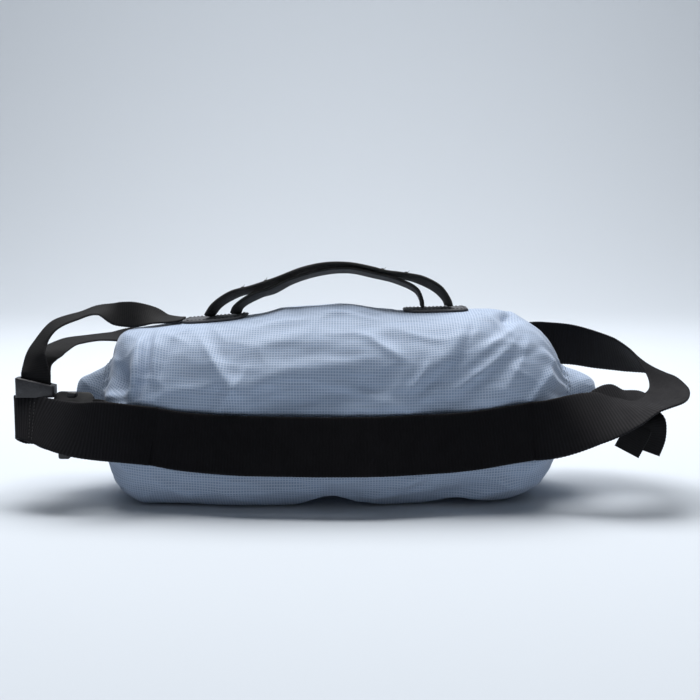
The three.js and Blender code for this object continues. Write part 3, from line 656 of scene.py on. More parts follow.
@dataclass
class BagShape:
    """The form of the bag: a soft bolster with an ear at each end, standing on its flat bottom.

    Sections: at is the place along the half length, past 1 in shares of the ear; top, bottom and waist
    are heights as shares of the bag's height; near and far are reaches as shares of the half depth; domes
    and feet say how square the upper and the lower half are. Folds: at and up are shares of the half
    length and of the height, or of the half depth on top; along, across and push are millimetres.
    """

    length: float = 324 * MM
    height: float = 136 * MM
    depth: float = 124 * MM
    ear: float = 26 * MM
    seat_gap: float = 0.4 * MM
    zip_angle: float = 48.0
    columns: tuple[str, ...] = ("at", "top", "bottom", "waist", "near", "far", "domes", "feet")
    sections: Rows = (
        (-2.0, 0.565, 0.5, 0.53, 0.06, 0.06, 2, 2),
        (-1.94, 0.6, 0.45, 0.52, 0.16, 0.18, 2, 2),
        (-1.6, 0.64, 0.4, 0.52, 0.24, 0.3, 2, 2),
        (-1.2, 0.68, 0.34, 0.5, 0.3, 0.38, 2, 2),
        (-1.0, 0.72, 0.22, 0.47, 0.42, 0.5, 2, 2.2),
        (-0.98, 0.78, 0.15, 0.45, 0.68, 0.64, 2.1, 2.7),
        (-0.955, 0.845, 0.09, 0.43, 0.78, 0.72, 2.2, 3.4),
        (-0.9, 0.88, 0.02, 0.41, 0.88, 0.82, 2.3, 4.0),
        (-0.82, 0.893, -0.012, 0.4, 0.95, 0.89, 2.4, 4.2),
        (-0.68, 0.92, -0.01, 0.39, 0.98, 0.93, 2.4, 4.2),
        (-0.4, 0.952, -0.016, 0.38, 1.04, 0.96, 2.4, 4.4),
        (-0.2, 0.99, -0.016, 0.38, 1.05, 0.96, 2.3, 4.4),
        (0.05, 1.005, -0.016, 0.38, 1.06, 0.96, 2.3, 4.4),
        (0.18, 0.985, -0.016, 0.38, 1.06, 0.96, 2.3, 4.2),
        (0.3, 0.975, -0.016, 0.38, 1.04, 0.96, 2.4, 3.8),
        (0.6, 0.982, -0.016, 0.39, 1.01, 0.95, 2.4, 3.2),
        (0.72, 0.975, -0.01, 0.4, 0.99, 0.93, 2.3, 3.0),
        (0.82, 0.94, 0.02, 0.41, 0.94, 0.9, 2.2, 2.8),
        (0.885, 0.89, 0.07, 0.42, 0.87, 0.84, 2.1, 2.9),
        (0.93, 0.83, 0.16, 0.44, 0.78, 0.76, 2.1, 2.5),
        (0.97, 0.75, 0.25, 0.47, 0.6, 0.66, 2, 2.2),
        (1.0, 0.69, 0.3, 0.49, 0.46, 0.54, 2, 2),
        (1.3, 0.665, 0.36, 0.51, 0.32, 0.4, 2, 2),
        (1.7, 0.635, 0.42, 0.53, 0.24, 0.3, 2, 2),
        (1.94, 0.6, 0.48, 0.54, 0.14, 0.16, 2, 2),
        (2.0, 0.565, 0.52, 0.54, 0.06, 0.06, 2, 2),
    )
    folds: Sequence[tuple] = (
        (Side.NEAR, -0.86, 0.72, 26, 9, 84, 4.5),
        (Side.NEAR, -0.8, 0.66, 30, 6, 70, -3.5),
        (Side.NEAR, -0.88, 0.53, 16, 6, 20, 3),
        (Side.NEAR, 0.66, 0.78, 34, 8, 38, 3),
        (Side.NEAR, 0.52, 0.66, 40, 9, 36, -2.5),
        (Side.NEAR, 0.3, 0.7, 16, 7, 50, 2),
        (Side.NEAR, -0.46, 0.68, 26, 9, -52, 1.8),
        (Side.NEAR, 0.05, 0.03, 44, 11, 0, -7),
        (Side.NEAR, 0.52, 0.1, 30, 10, 25, -7),
        (Side.TOP, -0.52, -0.1, 30, 18, 10, -1.5),
        (Side.TOP, 0.0, -0.25, 30, 9, 0, 2),
        (Side.TOP, 0.76, -0.2, 9, 9, 0, -3),
    )

    def __post_init__(self) -> None:
        """Works out the table's slopes once."""
        self.half = self.length / 2
        self.half_depth = self.depth / 2
        self.table = np.array(self.sections, dtype=float)
        at = self.table[:, :1]
        rate = np.diff(self.table, axis=0) / np.diff(at, axis=0)
        both = rate[:-1] * rate[1:]
        slope = np.zeros_like(self.table)
        slope[1:-1] = np.where(both > 0, 2 * both / np.where(both > 0, rate[:-1] + rate[1:], 1), 0)
        self.slopes = slope

    def section(self, at: np.ndarray) -> dict[str, np.ndarray]:
        """The section values at places between the table's rows.

        Args:
            at: Places along the bag as shares.

        Returns:
            Each column's values at those places.
        """
        places = self.table[:, 0]
        i = np.clip(np.searchsorted(places, at, side="right") - 1, 0, len(places) - 2)
        span = (places[i + 1] - places[i])[..., None]
        t = np.clip((at - places[i])[..., None] / span, 0, 1)
        values = ((t - 1) ** 2 * (1 + 2 * t) * self.table[i] + t * (1 - t) ** 2 * span * self.slopes[i]
                  + t * t * (3 - 2 * t) * self.table[i + 1] + t * t * (t - 1) * span * self.slopes[i + 1])
        return {name: values[..., k] for k, name in enumerate(self.columns)}

    def along_x(self, at: np.ndarray) -> np.ndarray:
        """Metres along X for places given as shares."""
        past = np.maximum(np.abs(at) - 1, 0)
        return np.sign(at) * (np.minimum(np.abs(at), 1) * self.half + past * self.ear)

    def place_of(self, x: np.ndarray) -> np.ndarray:
        """The share along the bag of a length in metres."""
        past = np.maximum(np.abs(x) - self.half, 0)
        return np.sign(x) * (np.minimum(np.abs(x) / self.half, 1) + past / self.ear)

    def fold_push(self, side: Side, x: np.ndarray, v: np.ndarray) -> np.ndarray:
        """How far the folds of one side push the cloth out.

        Args:
            side: The wall that the folds lie on.
            x: Metres along the bag.
            v: Metres up the wall, or away from the middle on top.

        Returns:
            The push at each place, in metres.
        """
        height = self.half_depth if side is Side.TOP else self.height
        push = np.zeros_like(x)
        for where, at, up, along, across, turn, amount in self.folds:
            if where is not side:
                continue
            a, b = fold_shares(x - at * self.half, v - up * height, along, across, turn)
            push += amount * MM * np.exp(-a * a - b * b)
        return push

    def cloth(self, at: np.ndarray, angle: np.ndarray) -> np.ndarray:
        """Points of the cloth.

        Args:
            at: Places along the bag as shares.
            angle: Angles round the section, 0 far and a quarter turn up.

        Returns:
            The points, with the coordinate as the last axis.
        """
        s = self.section(at)
        c, n = np.cos(angle), np.sin(angle)
        power = 2 / np.where(n >= 0, s["domes"], s["feet"])
        reach = np.where(c >= 0, s["far"], s["near"]) * self.half_depth
        rise = np.abs(np.where(n >= 0, s["top"], s["bottom"]) - s["waist"]) * self.height
        y = np.sign(c) * np.abs(c) ** power * reach
        z = s["waist"] * self.height + np.sign(n) * np.abs(n) ** power * rise
        x = self.along_x(at) * np.ones_like(y)
        y = y - self.fold_push(Side.NEAR, x, z) * np.maximum(-c, 0)
        z = z + self.fold_push(Side.TOP, x, y) * np.maximum(n, 0)
        return np.stack([x, y, np.maximum(z, 0)], -1)

    def wall(self, x: np.ndarray, z: np.ndarray, side: np.ndarray) -> np.ndarray:
        """The wall's Y at lengths and heights, with side -1 for the near wall and 1 for the far one.

        Args:
            x: Metres along the bag.
            z: Heights in metres.
            side: Which wall.

        Returns:
            The wall's Y at each place.
        """
        s = self.section(self.place_of(x))
        upper = z >= s["waist"] * self.height
        power = np.where(upper, s["domes"], s["feet"])
        rise = np.abs(np.where(upper, s["top"], s["bottom"]) - s["waist"]) * self.height
        share = np.clip(np.abs(z - s["waist"] * self.height) / rise, 0, 1)
        out = (1 - share**power) ** (1 / power)
        reach = np.where(side > 0, s["far"], s["near"]) * self.half_depth * out
        near = self.fold_push(Side.NEAR, x, z) * out ** (power / 2)
        return side * reach - np.where(side < 0, near, 0)

    def top(self, x: np.ndarray, y: np.ndarray) -> np.ndarray:
        """The height of the bag's upper face at lengths and depths."""
        s = self.section(self.place_of(x))
        share = np.minimum(np.abs(y) / (np.where(y >= 0, s["far"], s["near"]) * self.half_depth), 1)
        up = (1 - share ** s["domes"]) ** (1 / s["domes"])
        rise = (s["top"] - s["waist"]) * self.height
        return s["waist"] * self.height + rise * up + self.fold_push(Side.TOP, x, y) * up

    def route(self, rows: Rows) -> tuple[np.ndarray, np.ndarray, np.ndarray]:
        """A strap's route from its table.

        Args:
            rows: x, y and z as shares of the half length, the half depth and the height, the direction of
                the strap's width, its share of the full width and how far its upper edge runs ahead.

        Returns:
            The points, the widths and the leans.
        """
        full = np.array([tuple(row) + (0.0,) * (8 - len(row)) for row in rows], dtype=float)
        points = full[:, :3] * np.array([self.half, self.half_depth, self.height])
        return points, unit(full[:, 3:6]) * full[:, 6:7], full[:, 7:8]


@dataclass
class StrapMaker:
    """Turns routes into woven straps with real ribs."""

    bag: BagShape
    dense: int = 5
    serration: float = 0.22 * MM
    rim: float = 1.6
    selvedge: float = 0.16
    selvedge_from: tuple[float, float] = (0.84, 0.9)
    samples: int = 40
    free_before: float = -0.8
    width_checks: int = 7

    def frames(self, route: tuple[np.ndarray, np.ndarray, np.ndarray], pitch: float, width: float,
               thickness: float, seat: Seat = Seat.FREE) -> Frames:
        """The frames of a strap at even steps.

        Args:
            route: Points, widths and leans of the route.
            pitch: The distance from one rib to the next.
            width: The strap's width.
            thickness: The strap's thickness.
            seat: What the strap is kept clear of.

        Returns:
            The frames, with several steps for each rib.
        """
        points, widths, leans = route
        rough = self.samples * len(points)
        track, across = catmull_rom(points, rough), catmull_rom(widths, rough)
        lean = catmull_rom(np.hstack([leans] * 3), rough)[:, :1]
        track = self.seated(track, across, width, thickness, seat)
        run = run_of(track)
        count = int(run[-1] / pitch * self.dense) + 2
        even = np.linspace(0, run[-1], count)
        point, side, tilt = (rows_at(even, run, rows) for rows in (track, across, lean))
        ahead = unit(np.gradient(point, axis=0))
        length = np.linalg.norm(side, axis=1, keepdims=True)
        side = unit(side - ahead * np.sum(side * ahead, 1, keepdims=True)) * length
        out = unit(np.cross(ahead, side))
        return Frames(point, ahead, side + ahead * tilt * length, out, even)

    def seated(self, track: np.ndarray, across: np.ndarray, width: float, thickness: float,
               seat: Seat) -> np.ndarray:
        """A strap's track moved off what carries it.

        Args:
            track: Points of the track.
            across: The width's direction at each point.
            width: The strap's width.
            thickness: The strap's thickness.
            seat: What it is kept clear of.

        Returns:
            The moved points.
        """
        moved = track.copy()
        if seat is Seat.TOP:
            over = self.bag.top(track[:, 0], track[:, 1]) + self.bag.seat_gap + thickness
            held = track[:, 0] >= self.free_before * self.bag.half
            moved[:, 2] = np.where(held, np.maximum(track[:, 2], over), track[:, 2])
        if seat is Seat.WALL:
            side = np.where(track[:, 1] < 0, -1.0, 1.0)
            y = track[:, 1] * side
            for off in np.linspace(-width / 2, width / 2, self.width_checks):
                wall = self.bag.wall(track[:, 0], track[:, 2] + off * across[:, 2], side) * side
                y = np.maximum(y, wall - off * across[:, 1] * side + thickness / 2 + self.bag.seat_gap)
            moved[:, 1] = np.where(np.abs(track[:, 0]) > self.bag.half, track[:, 1], y * side)
        return moved

    def weave(self, name: str, frames: Frames, width: float, thickness: float, pitch: float, rib: float,
              columns: int = 9, fan: Callable[[np.ndarray], np.ndarray] | None = None) -> bpy.types.Object:
        """The mesh of a woven strap.

        Args:
            name: The piece's name.
            frames: The strap's frames.
            width: Its width.
            thickness: Its thickness.
            pitch: The distance from one rib to the next.
            rib: How far the ribs stand out.
            columns: How many points lie across one face.
            fan: How far a rib's upper end runs ahead of its lower end, by the length along.

        Returns:
            The new object.
        """
        rim = thickness / width * self.rim
        inner = np.linspace(-1 + rim, 1 - rim, columns)
        bend = np.sin(np.linspace(0, math.pi / 2, 4)[1:])
        edge = 1 - rim + rim * bend
        across = np.concatenate([inner, edge, edge[-2::-1], inner[::-1], -edge, -edge[-2::-1]])
        fall = np.sqrt(np.maximum(1 - bend**2, 0))
        face = np.concatenate([np.ones(columns), fall, -fall[-2::-1], -np.ones(columns), -fall, fall[-2::-1]])
        selvedge = 1 + self.selvedge * smooth_step(*self.selvedge_from, np.abs(across))
        wave = 0.5 + 0.5 * np.cos(2 * math.pi * frames.along / pitch)
        thick = (thickness / 2 - rib + rib * wave[:, None]) * (face * selvedge)[None]
        side = frames.side * (1 + self.serration / width * (2 * wave[:, None] - 1))
        half = (across * width / 2)[None, :, None]
        if fan is None:
            rings = frames.point[:, None] + side[:, None] * half
        else:
            shift = fan(frames.along)[:, None] * across[None]
            target = np.clip(frames.along[:, None] + shift, 0, frames.along[-1])
            rings = rows_at(target, frames.along, frames.point) + rows_at(target, frames.along, side) * half
        rings = rings + frames.out[:, None] * thick[..., None]
        u = np.repeat(frames.along[:, None], len(across) + 1, 1)
        v = np.repeat(np.append(across, across[0])[None] * width / 2, len(rings), 0)
        return make_skin(name, rings, u, v)


@dataclass
class BagBody:
    """The bag's cloth, made on a fine grid with folds, creases and seam puckers."""

    bag: BagShape
    wear: Wardrobe
    stations: int = 380
    around: int = 220
    belt_share: float = 0.9
    belt_gap: float = 2.2 * MM
    press_band: tuple[float, float] = (15.5 * MM, 20.5 * MM)
    press_to: float = 0.84
    lift_edge: tuple[float, float] = (-6 * MM, 40 * MM)
    facing: tuple[float, float] = (0.1, 0.7)
    dents_from: float = 18 * MM
    puckers: float = 17
    pucker_height: float = 1.0 * MM
    pucker_span: tuple[float, float] = (0.8, 0.97)
    pucker_end: float = 1.25
    pucker_fade: float = 0.4
    left_calm: tuple[float, float] = (0.6, 0.68)
    left_calm_share: float = 0.8
    under_sink: float = 0.25 * MM
    ground: tuple[float, float] = (0.5 * MM, 9 * MM)
    zip_reach: float = 0.79
    zip_clear: tuple[float, float] = (7 * MM, 15 * MM)
    press_clear: tuple[float, float] = (1 * MM, 9 * MM)
    wrinkle_scale: tuple[float, float, float] = (26.0, 34.0, 60.0)
    fine_scale: float = 2.7
    wrinkle_height: float = 0.8 * MM
    seams: tuple[float, ...] = (-1.02, 1.02, -1.13, 1.13)
    seam_pitch: float = 3.2 * MM
    seam_thread: float = 0.28 * MM
    belt_line: Rows = ((-0.96, 0.418), (-0.8, 0.395), (-0.64, 0.365), (-0.37, 0.352), (0.06, 0.35),
                       (0.36, 0.356), (0.56, 0.368), (0.72, 0.395), (0.9, 0.425))
    # at, up, along (mm), across (mm), turn, push (mm): broad dents and swellings of the near face
    dents: Rows = (
        (-0.915, 0.66, 15, 9, 90, -12.0), (-0.84, 0.69, 17, 3.6, 86, 4.6), (-0.92, 0.585, 13, 3.4, 14, 4.6),
        (-0.91, 0.86, 8, 9, 0, 2.0),
        (-0.08, 0.72, 58, 9, 9, 3.0), (-0.1, 0.57, 70, 11, 8, -3.4), (0.745, 0.95, 6, 5, 0, -4.0),
        (0.42, 0.74, 44, 9, 38, 2.6), (0.5, 0.55, 40, 9, 36, -2.6), (0.7, 0.62, 34, 10, 44, 2.4),
        (-0.44, 0.66, 24, 8, -44, 2.2), (-0.34, 0.6, 24, 8, 34, 2.0),
    )
    # at, half length (mm), half depth (mm): cloth held flat on top, by the patches and the upper strap
    patches: Rows = ((-0.535, 23, 17), (0.44, 23, 17), (-0.78, 18, 11))
    # from, to, middle height, half width (mm): cloth held flat behind the far ends of the straps
    far_straps: Rows = ((0.66, 1.05, 0.735, 20), (-1.0, -0.77, 0.76, 11))
    # at, half width (mm), height (mm): where the near bottom edge stands off the ground
    lifts: Rows = ((-0.02, 20, 10), (0.1, 14, 4.0), (0.52, 20, 7), (0.93, 14, 9), (-0.93, 14, 8))
    # at, up, along (mm), across (mm), turn, push (mm): sharper creases laid over the main folds
    creases: Rows = (
        (-0.765, 0.8, 15, 2.6, 100, 2.4), (-0.79, 0.6, 20, 2.8, 78, 2.2), (-0.87, 0.47, 14, 2.6, 28, 2.2),
        (-0.72, 0.74, 20, 3.5, 82, -1.6), (-0.84, 0.82, 12, 4, 60, 1.2),
        (0.7, 0.86, 26, 2.6, 36, 2.0), (0.6, 0.7, 30, 3.0, 40, 2.4), (0.47, 0.72, 22, 3.2, 44, -1.8),
        (0.34, 0.66, 15, 2.6, 60, 1.6), (0.42, 0.6, 18, 3.4, 30, 1.5), (0.56, 0.86, 14, 3.0, 70, -1.4),
        (0.76, 0.72, 20, 3.2, 64, 1.6), (0.86, 0.62, 16, 2.6, 50, 1.6), (0.8, 0.78, 14, 2.8, 20, -1.4),
        (-0.5, 0.74, 20, 3.0, -48, 1.6), (-0.42, 0.62, 18, 3.2, 60, 1.5), (-0.3, 0.6, 22, 3.4, 25, -1.4),
        (-0.6, 0.62, 18, 3.0, 15, 1.2), (-0.12, 0.62, 26, 3.2, 12, 1.3), (0.12, 0.6, 24, 3.0, -14, 1.2),
        (-0.02, 0.78, 26, 4.0, 6, -1.1), (0.2, 0.82, 20, 3.4, -24, 1.1), (-0.24, 0.84, 22, 3.6, 18, 1.0),
        (-0.7, 0.12, 20, 3.4, -14, 1.6), (-0.4, 0.1, 30, 3.4, 4, 1.5), (-0.1, 0.14, 30, 3.0, -5, -1.5),
        (0.2, 0.08, 26, 3.0, 10, 1.8), (0.36, 0.13, 18, 2.8, 30, -2.0), (0.54, 0.05, 26, 3.0, 12, 2.2),
        (0.7, 0.14, 20, 3.4, -16, 1.8), (0.84, 0.24, 12, 3.0, 50, 1.6), (-0.9, 0.24, 12, 3.0, -50, 1.6),
    )
    # x share, y share, along (mm), across (mm), turn, push (mm): creases of the upper face
    top_creases: Rows = (
        (-0.2, -0.5, 20, 3, 8, 1.4), (0.05, -0.42, 26, 3, -3, 1.6), (-0.62, -0.4, 14, 3, 40, 1.3),
        (0.66, -0.42, 16, 3, -38, 1.5), (0.74, -0.2, 12, 2.6, 70, -1.6), (-0.72, 0.1, 16, 3, 80, -1.2),
        (0.78, 0.1, 14, 2.8, -70, 1.2), (0.0, 0.3, 40, 5, 2, 1.2), (-0.34, 0.4, 20, 4, -20, -1.0),
    )

    def build(self) -> list[bpy.types.Object]:
        """Makes the bag's cloth and its seams."""
        self.at = self.spread()
        self.points = self.tucked(self.wrinkled(self.sheet(self.at), self.at))
        body = make_skin("bag_cloth", self.points, self.length_run, self.cloth_run)
        dress(body, self.wear.ripstop, "ripstop_cloth", "bag_body")
        return [body, self.ear_seams()]

    def spread(self) -> np.ndarray:
        """Places along the bag, closer together at its ends."""
        x = np.linspace(-1, 1, self.stations)
        whole = self.bag.half + self.bag.ear
        crowding = 0.18
        eased = (1 - crowding) * x + crowding * np.sin(x * math.pi / 2)
        return self.bag.place_of(whole * eased)

    def sheet(self, at: np.ndarray) -> np.ndarray:
        """The cloth at even distances round each section from the far waist.

        It also keeps the cloth's two coordinates: the distance along from the middle and the distance
        round from the near waist.

        Args:
            at: Its places along the bag.

        Returns:
            The smooth cloth as station, place round, coordinate.
        """
        angle = np.linspace(0, 2 * math.pi, 4 * self.around + 1)
        dense = self.bag.cloth(at[:, None], angle[None])
        step = np.linalg.norm(np.diff(dense, axis=1), axis=2) + 1e-7
        run = np.concatenate([np.zeros((len(at), 1)), np.cumsum(step, axis=1)], 1)
        points = np.empty((len(at), self.around, 3))
        places = np.arange(self.around + 1) / self.around
        self.cloth_run = run[:, -1:] * places[None] - run[:, 2 * self.around : 2 * self.around + 1]
        for i, row in enumerate(dense):
            points[i] = rows_at(run[i, -1] * places[:-1], run[i], row)
        steps = np.linalg.norm(np.diff(points, axis=0), axis=2)
        length = np.concatenate([np.zeros((1, self.around)), np.cumsum(steps, axis=0)])
        length -= length[len(at) // 2]
        self.length_run = np.concatenate([length, length[:, :1]], 1)
        return points

    def normals(self, points: np.ndarray) -> np.ndarray:
        """The outward directions of a grid of points."""
        along = np.gradient(points, axis=0)
        around = np.roll(points, -1, 1) - np.roll(points, 1, 1)
        return unit(np.cross(around, along))

    def wrinkled(self, points: np.ndarray, at: np.ndarray) -> np.ndarray:
        """The cloth with its creases, puckers and small wrinkles.

        Args:
            points: The smooth cloth.
            at: Its places along the bag.

        Returns:
            The creased cloth.
        """
        out = self.normals(points)
        x, y, z = points[..., 0], points[..., 1], points[..., 2]
        push = np.zeros_like(x)
        near, far, over = (smooth_step(*self.facing, way) for way in (-out[..., 1], out[..., 1], out[..., 2]))
        for rows, v, height, mask, flip in ((self.creases, z, self.bag.height, near, 1.0),
                                            (self.creases, z, self.bag.height, far, -1.0),
                                            (self.top_creases, y, self.bag.half_depth, over, 1.0)):
            for place, up, along, across, turn, amount in rows:
                push += mask * amount * MM * self.crease(x * flip - place * self.bag.half, v - up * height,
                                                         along, across, turn)
        for place, up, along, across, turn, amount in self.dents:
            a, b = fold_shares(x - place * self.bag.half, z - up * self.bag.height, along, across, turn)
            push += smooth_step(0, self.dents_from, -y) * amount * MM * np.exp(-a * a - b * b)
        push += self.end_puckers(points, at)
        push += self.small_wrinkles(points)
        calm = self.calm(points)
        push = push * calm - (1 - calm) * self.under_sink
        grounded = smooth_step(*self.ground, z)
        shrink = smooth_step(0, 0.25, 2 - np.abs(at))[:, None]
        moved = points + out * (push * grounded * shrink)[..., None]
        moved[..., 2] = np.maximum(moved[..., 2], 0)
        return moved

    def end_puckers(self, points: np.ndarray, at: np.ndarray) -> np.ndarray:
        """Small gathers that run out from the middle of each end.

        Args:
            points: The cloth's points.
            at: Their places along the bag.

        Returns:
            How far each point moves out, in metres.
        """
        x, y, z = (points[..., k] for k in range(3))
        centre, waver, wavers = 0.45, 2.2, 3
        angle = np.arctan2(z - centre * self.bag.height, y)
        left = smooth_step(*self.left_calm, z / self.bag.height) * self.left_calm_share
        ends = smooth_step(*self.pucker_span, np.abs(at))[:, None] * np.where(x < 0, 1 - left, 1)
        fade = smooth_step(0.0, self.pucker_fade, self.pucker_end - np.abs(at))[:, None]
        wave = np.sin(angle * self.puckers + waver * np.sin(angle * wavers))
        return ends * self.pucker_height * wave * fade

    def calm(self, points: np.ndarray) -> np.ndarray:
        """0 where the cloth lies flat under the zip, the patches and the far straps, and 1 elsewhere."""
        x, y, z = (points[..., k] for k in range(3))
        marks = np.linspace(-self.zip_reach, self.zip_reach, 80)
        line = self.bag.cloth(marks, np.full(len(marks), math.radians(self.bag.zip_angle)))
        gap = np.min(np.linalg.norm(points[:, :, None] - line, axis=3), axis=2)
        free = smooth_step(*self.zip_clear, gap)
        for place, half_x, half_y in self.patches:
            beyond = np.hypot(np.maximum(np.abs(x - place * self.bag.half) - half_x * MM, 0),
                              np.maximum(np.abs(y) - half_y * MM, 0))
            upper = z > 0.6 * self.bag.height
            free *= np.where(upper, smooth_step(*self.press_clear, beyond), 1)
        for start, end, middle, half in self.far_straps:
            beyond = np.hypot(np.maximum(np.maximum(start * self.bag.half - x, x - end * self.bag.half), 0),
                              np.maximum(np.abs(z - middle * self.bag.height) - half * MM, 0))
            free *= np.where(y > 0, smooth_step(*self.press_clear, beyond), 1)
        return free

    def crease(self, dx: np.ndarray, dv: np.ndarray, along: float, across: float, turn: float) -> np.ndarray:
        """The profile of one crease: a ridge with a shallow valley beside it.

        Args:
            dx: Metres along X from its middle.
            dv: Metres up from its middle.
            along: Its half length, in millimetres.
            across: Its half width, in millimetres.
            turn: Its slope in degrees.

        Returns:
            The height at each place, 1 on the ridge.
        """
        a, b = fold_shares(dx, dv, along, across, turn)
        bend, bends, valley_at, valley_depth = 0.45, 2.1, 2.1, 0.5
        b = b + bend * np.sin(a * bends)
        ridge = np.exp(-np.abs(b) ** 1.5)
        valley = np.exp(-((b - valley_at) ** 2) * 0.5) * valley_depth
        return (ridge - valley) * np.exp(-a * a)

    def small_wrinkles(self, points: np.ndarray) -> np.ndarray:
        """Low crumples all over the cloth.

        Args:
            points: The cloth's points.

        Returns:
            How far each point moves out, in metres.
        """
        flat = points.reshape(-1, 3)
        stretch = np.array(self.wrinkle_scale)
        apart = 7.0
        broad = np.array([noise.noise(Vector(p)) for p in flat * stretch])
        fine = np.array([noise.noise(Vector(p)) for p in flat * stretch * self.fine_scale + apart])
        ridged = (1 - np.abs(broad) * 2.4).clip(0) ** 2
        rough = 1.1 * (ridged - 0.35) + 0.45 * fine + 0.5 * broad
        return rough.reshape(points.shape[:2]) * self.wrinkle_height

    def tucked(self, points: np.ndarray) -> np.ndarray:
        """The cloth pressed in behind the waist belt and lifted where its near edge leaves the ground."""
        moved = points.copy()
        x, z = moved[..., 0], moved[..., 2]
        middle = np.interp(x / self.bag.half, *zip(*self.belt_line)) * self.bag.height
        band = 1 - smooth_step(*self.press_band, np.abs(z - middle))
        held = self.belt_gap - self.belt_share * self.bag.half_depth
        near = moved[..., 1] < 0
        pressed = np.where(near, np.maximum(moved[..., 1], held), moved[..., 1])
        moved[..., 1] += (pressed - moved[..., 1]) * band * (np.abs(x) < self.press_to * self.bag.half)
        edge = smooth_step(*self.lift_edge, -moved[..., 1])
        for place, half, lift in self.lifts:
            rise = lift * MM * np.exp(-(((x - place * self.bag.half) / (half * MM)) ** 2)) * edge
            moved[..., 2] = np.maximum(moved[..., 2], rise)
        return moved

    def ear_seams(self) -> bpy.types.Object:
        """Sewn lines where the ears join the ends of the bag."""
        parts = []
        normals = self.normals(self.points)
        keep = slice(int(0.06 * self.around), int(0.94 * self.around))
        for place in self.seams:
            i = int(np.argmin(np.abs(self.at - place)))
            parts += stitches(self.points[i, keep], normals[i, keep], self.seam_pitch, self.seam_thread)
        return dress(join_parts("ear_stitches", parts), self.wear.pale_thread, "ripstop_cloth")


@dataclass
class MainZip:
    """The bag's long zip on its far shoulder: tape, coil and slider."""

    bag: BagShape
    wear: Wardrobe
    length: float = 250 * MM
    width: float = 9 * MM
    pull_share: float = 0.55
    pull_size: tuple[float, float, float] = (13 * MM, 7 * MM, 3.0 * MM)
    pull_lift: float = 1.3 * MM
    pull_round: float = 1.1 * MM
    step: float = 0.5 * MM
    coil_pitch: float = 1.6 * MM
    coil_thread: float = 0.5 * MM
    lift: float = 0.9 * MM
    # place across as a share of the half width, height (mm): the outline of the tape's section
    section: Rows = ((-1.0, -0.4), (-0.97, 0.25), (-0.8, 0.5), (-0.62, 0.3), (-0.5, 0.0), (0.5, 0.0),
                     (0.62, 0.3), (0.8, 0.5), (0.97, 0.25), (1.0, -0.4), (0.6, -0.9), (-0.6, -0.9))
    # place across (mm), height (mm): the arch of one tooth
    tooth: Rows = ((-1.5, 0.0), (-1.2, 0.55), (0.0, 0.75), (1.2, 0.55), (1.5, 0.0))

    def build(self) -> list[bpy.types.Object]:
        """Makes the tape, the coil and the slider."""
        count = int(self.length / self.step)
        x = np.linspace(-self.length / 2, self.length / 2, count)
        at = self.bag.place_of(x)
        turn = math.radians(self.bag.zip_angle)
        middle = self.bag.cloth(at, np.full(count, turn))
        beside = self.bag.cloth(at, np.full(count, turn + 0.06))
        ahead = unit(np.gradient(middle, axis=0))
        across = beside - middle
        across = unit(across - ahead * np.sum(across * ahead, 1, keepdims=True))
        out = unit(np.cross(ahead, across))
        out *= np.sign(out[:, 1:2] + out[:, 2:3])
        self.line, self.ahead, self.across, self.out = middle + out * self.lift, ahead, across, out
        return [self.tape(), self.coil(), self.puller()]

    def tape(self) -> bpy.types.Object:
        """The zip's tape, with a low lip of cloth at each edge."""
        place, rise = np.array(self.section).T
        place, rise = place * self.width / 2, rise * MM
        rings = (self.line[:, None] + self.across[:, None] * place[None, :, None]
                 + self.out[:, None] * rise[None, :, None])
        u = np.repeat(self.line[:, :1], len(place) + 1, 1)
        v = np.repeat(np.append(place, place[0])[None], len(self.line), 0)
        return dress(make_skin("zip_tape_strip", rings, u, v), self.wear.tape, "zip_tape", "main_zip")

    def coil(self) -> bpy.types.Object:
        """The row of teeth along the middle of the tape."""
        run = run_of(self.line)
        reach, rise = np.array(self.tooth).T[..., None] * MM
        bare = 2
        parts = []
        for k in range(int(run[-1] / self.coil_pitch) - 2 * bare):
            i = int(np.searchsorted(run, (k + bare + 0.5) * self.coil_pitch))
            path = self.line[i] + self.across[i] * reach + self.out[i] * rise
            parts.append(tube(path, self.coil_thread, 5))
        return dress(join_parts("zip_teeth", parts), self.wear.plastic, "hardware_plastic")

    def puller(self) -> bpy.types.Object:
        """The zip's slider, as one box with rounded edges."""
        i = int(np.searchsorted(self.line[:, 0], self.pull_share * self.length / 2))
        axes = [Vector(a[i]) for a in (self.ahead, self.across, self.out)]
        piece = rounded_box("zip_slider", Vector(self.line[i]) + axes[2] * self.pull_lift, axes,
                            self.pull_size, self.pull_round)
        return dress(piece, self.wear.plastic, "hardware_plastic", "zip_pull")


def rounded_box(name: str, middle: Vector, axes: Sequence[Vector], size: Sequence[float],
                round_by: float) -> bpy.types.Object:
    """A box with rounded edges.

    Args:
        name: The piece's name.
        middle: Its centre.
        axes: Its three directions.
        size: Its three sizes.
        round_by: The radius of its edges.

    Returns:
        The new object, with its place in its vertices.
    """
    work = bmesh.new()
    bmesh.ops.create_cube(work, size=1.0)
    for vertex in work.verts:
        co = vertex.co.copy()
        vertex.co = middle + sum((axes[k] * co[k] * size[k] for k in range(3)), Vector())
    bmesh.ops.bevel(work, geom=work.edges[:], offset=min(round_by, min(size) * 0.45), segments=4, profile=0.5,
                    affect="EDGES")
    bmesh.ops.recalc_face_normals(work, faces=work.faces)
    mesh = bpy.data.meshes.new(name)
    work.to_mesh(mesh)
    work.free()
    return placed(name, mesh)


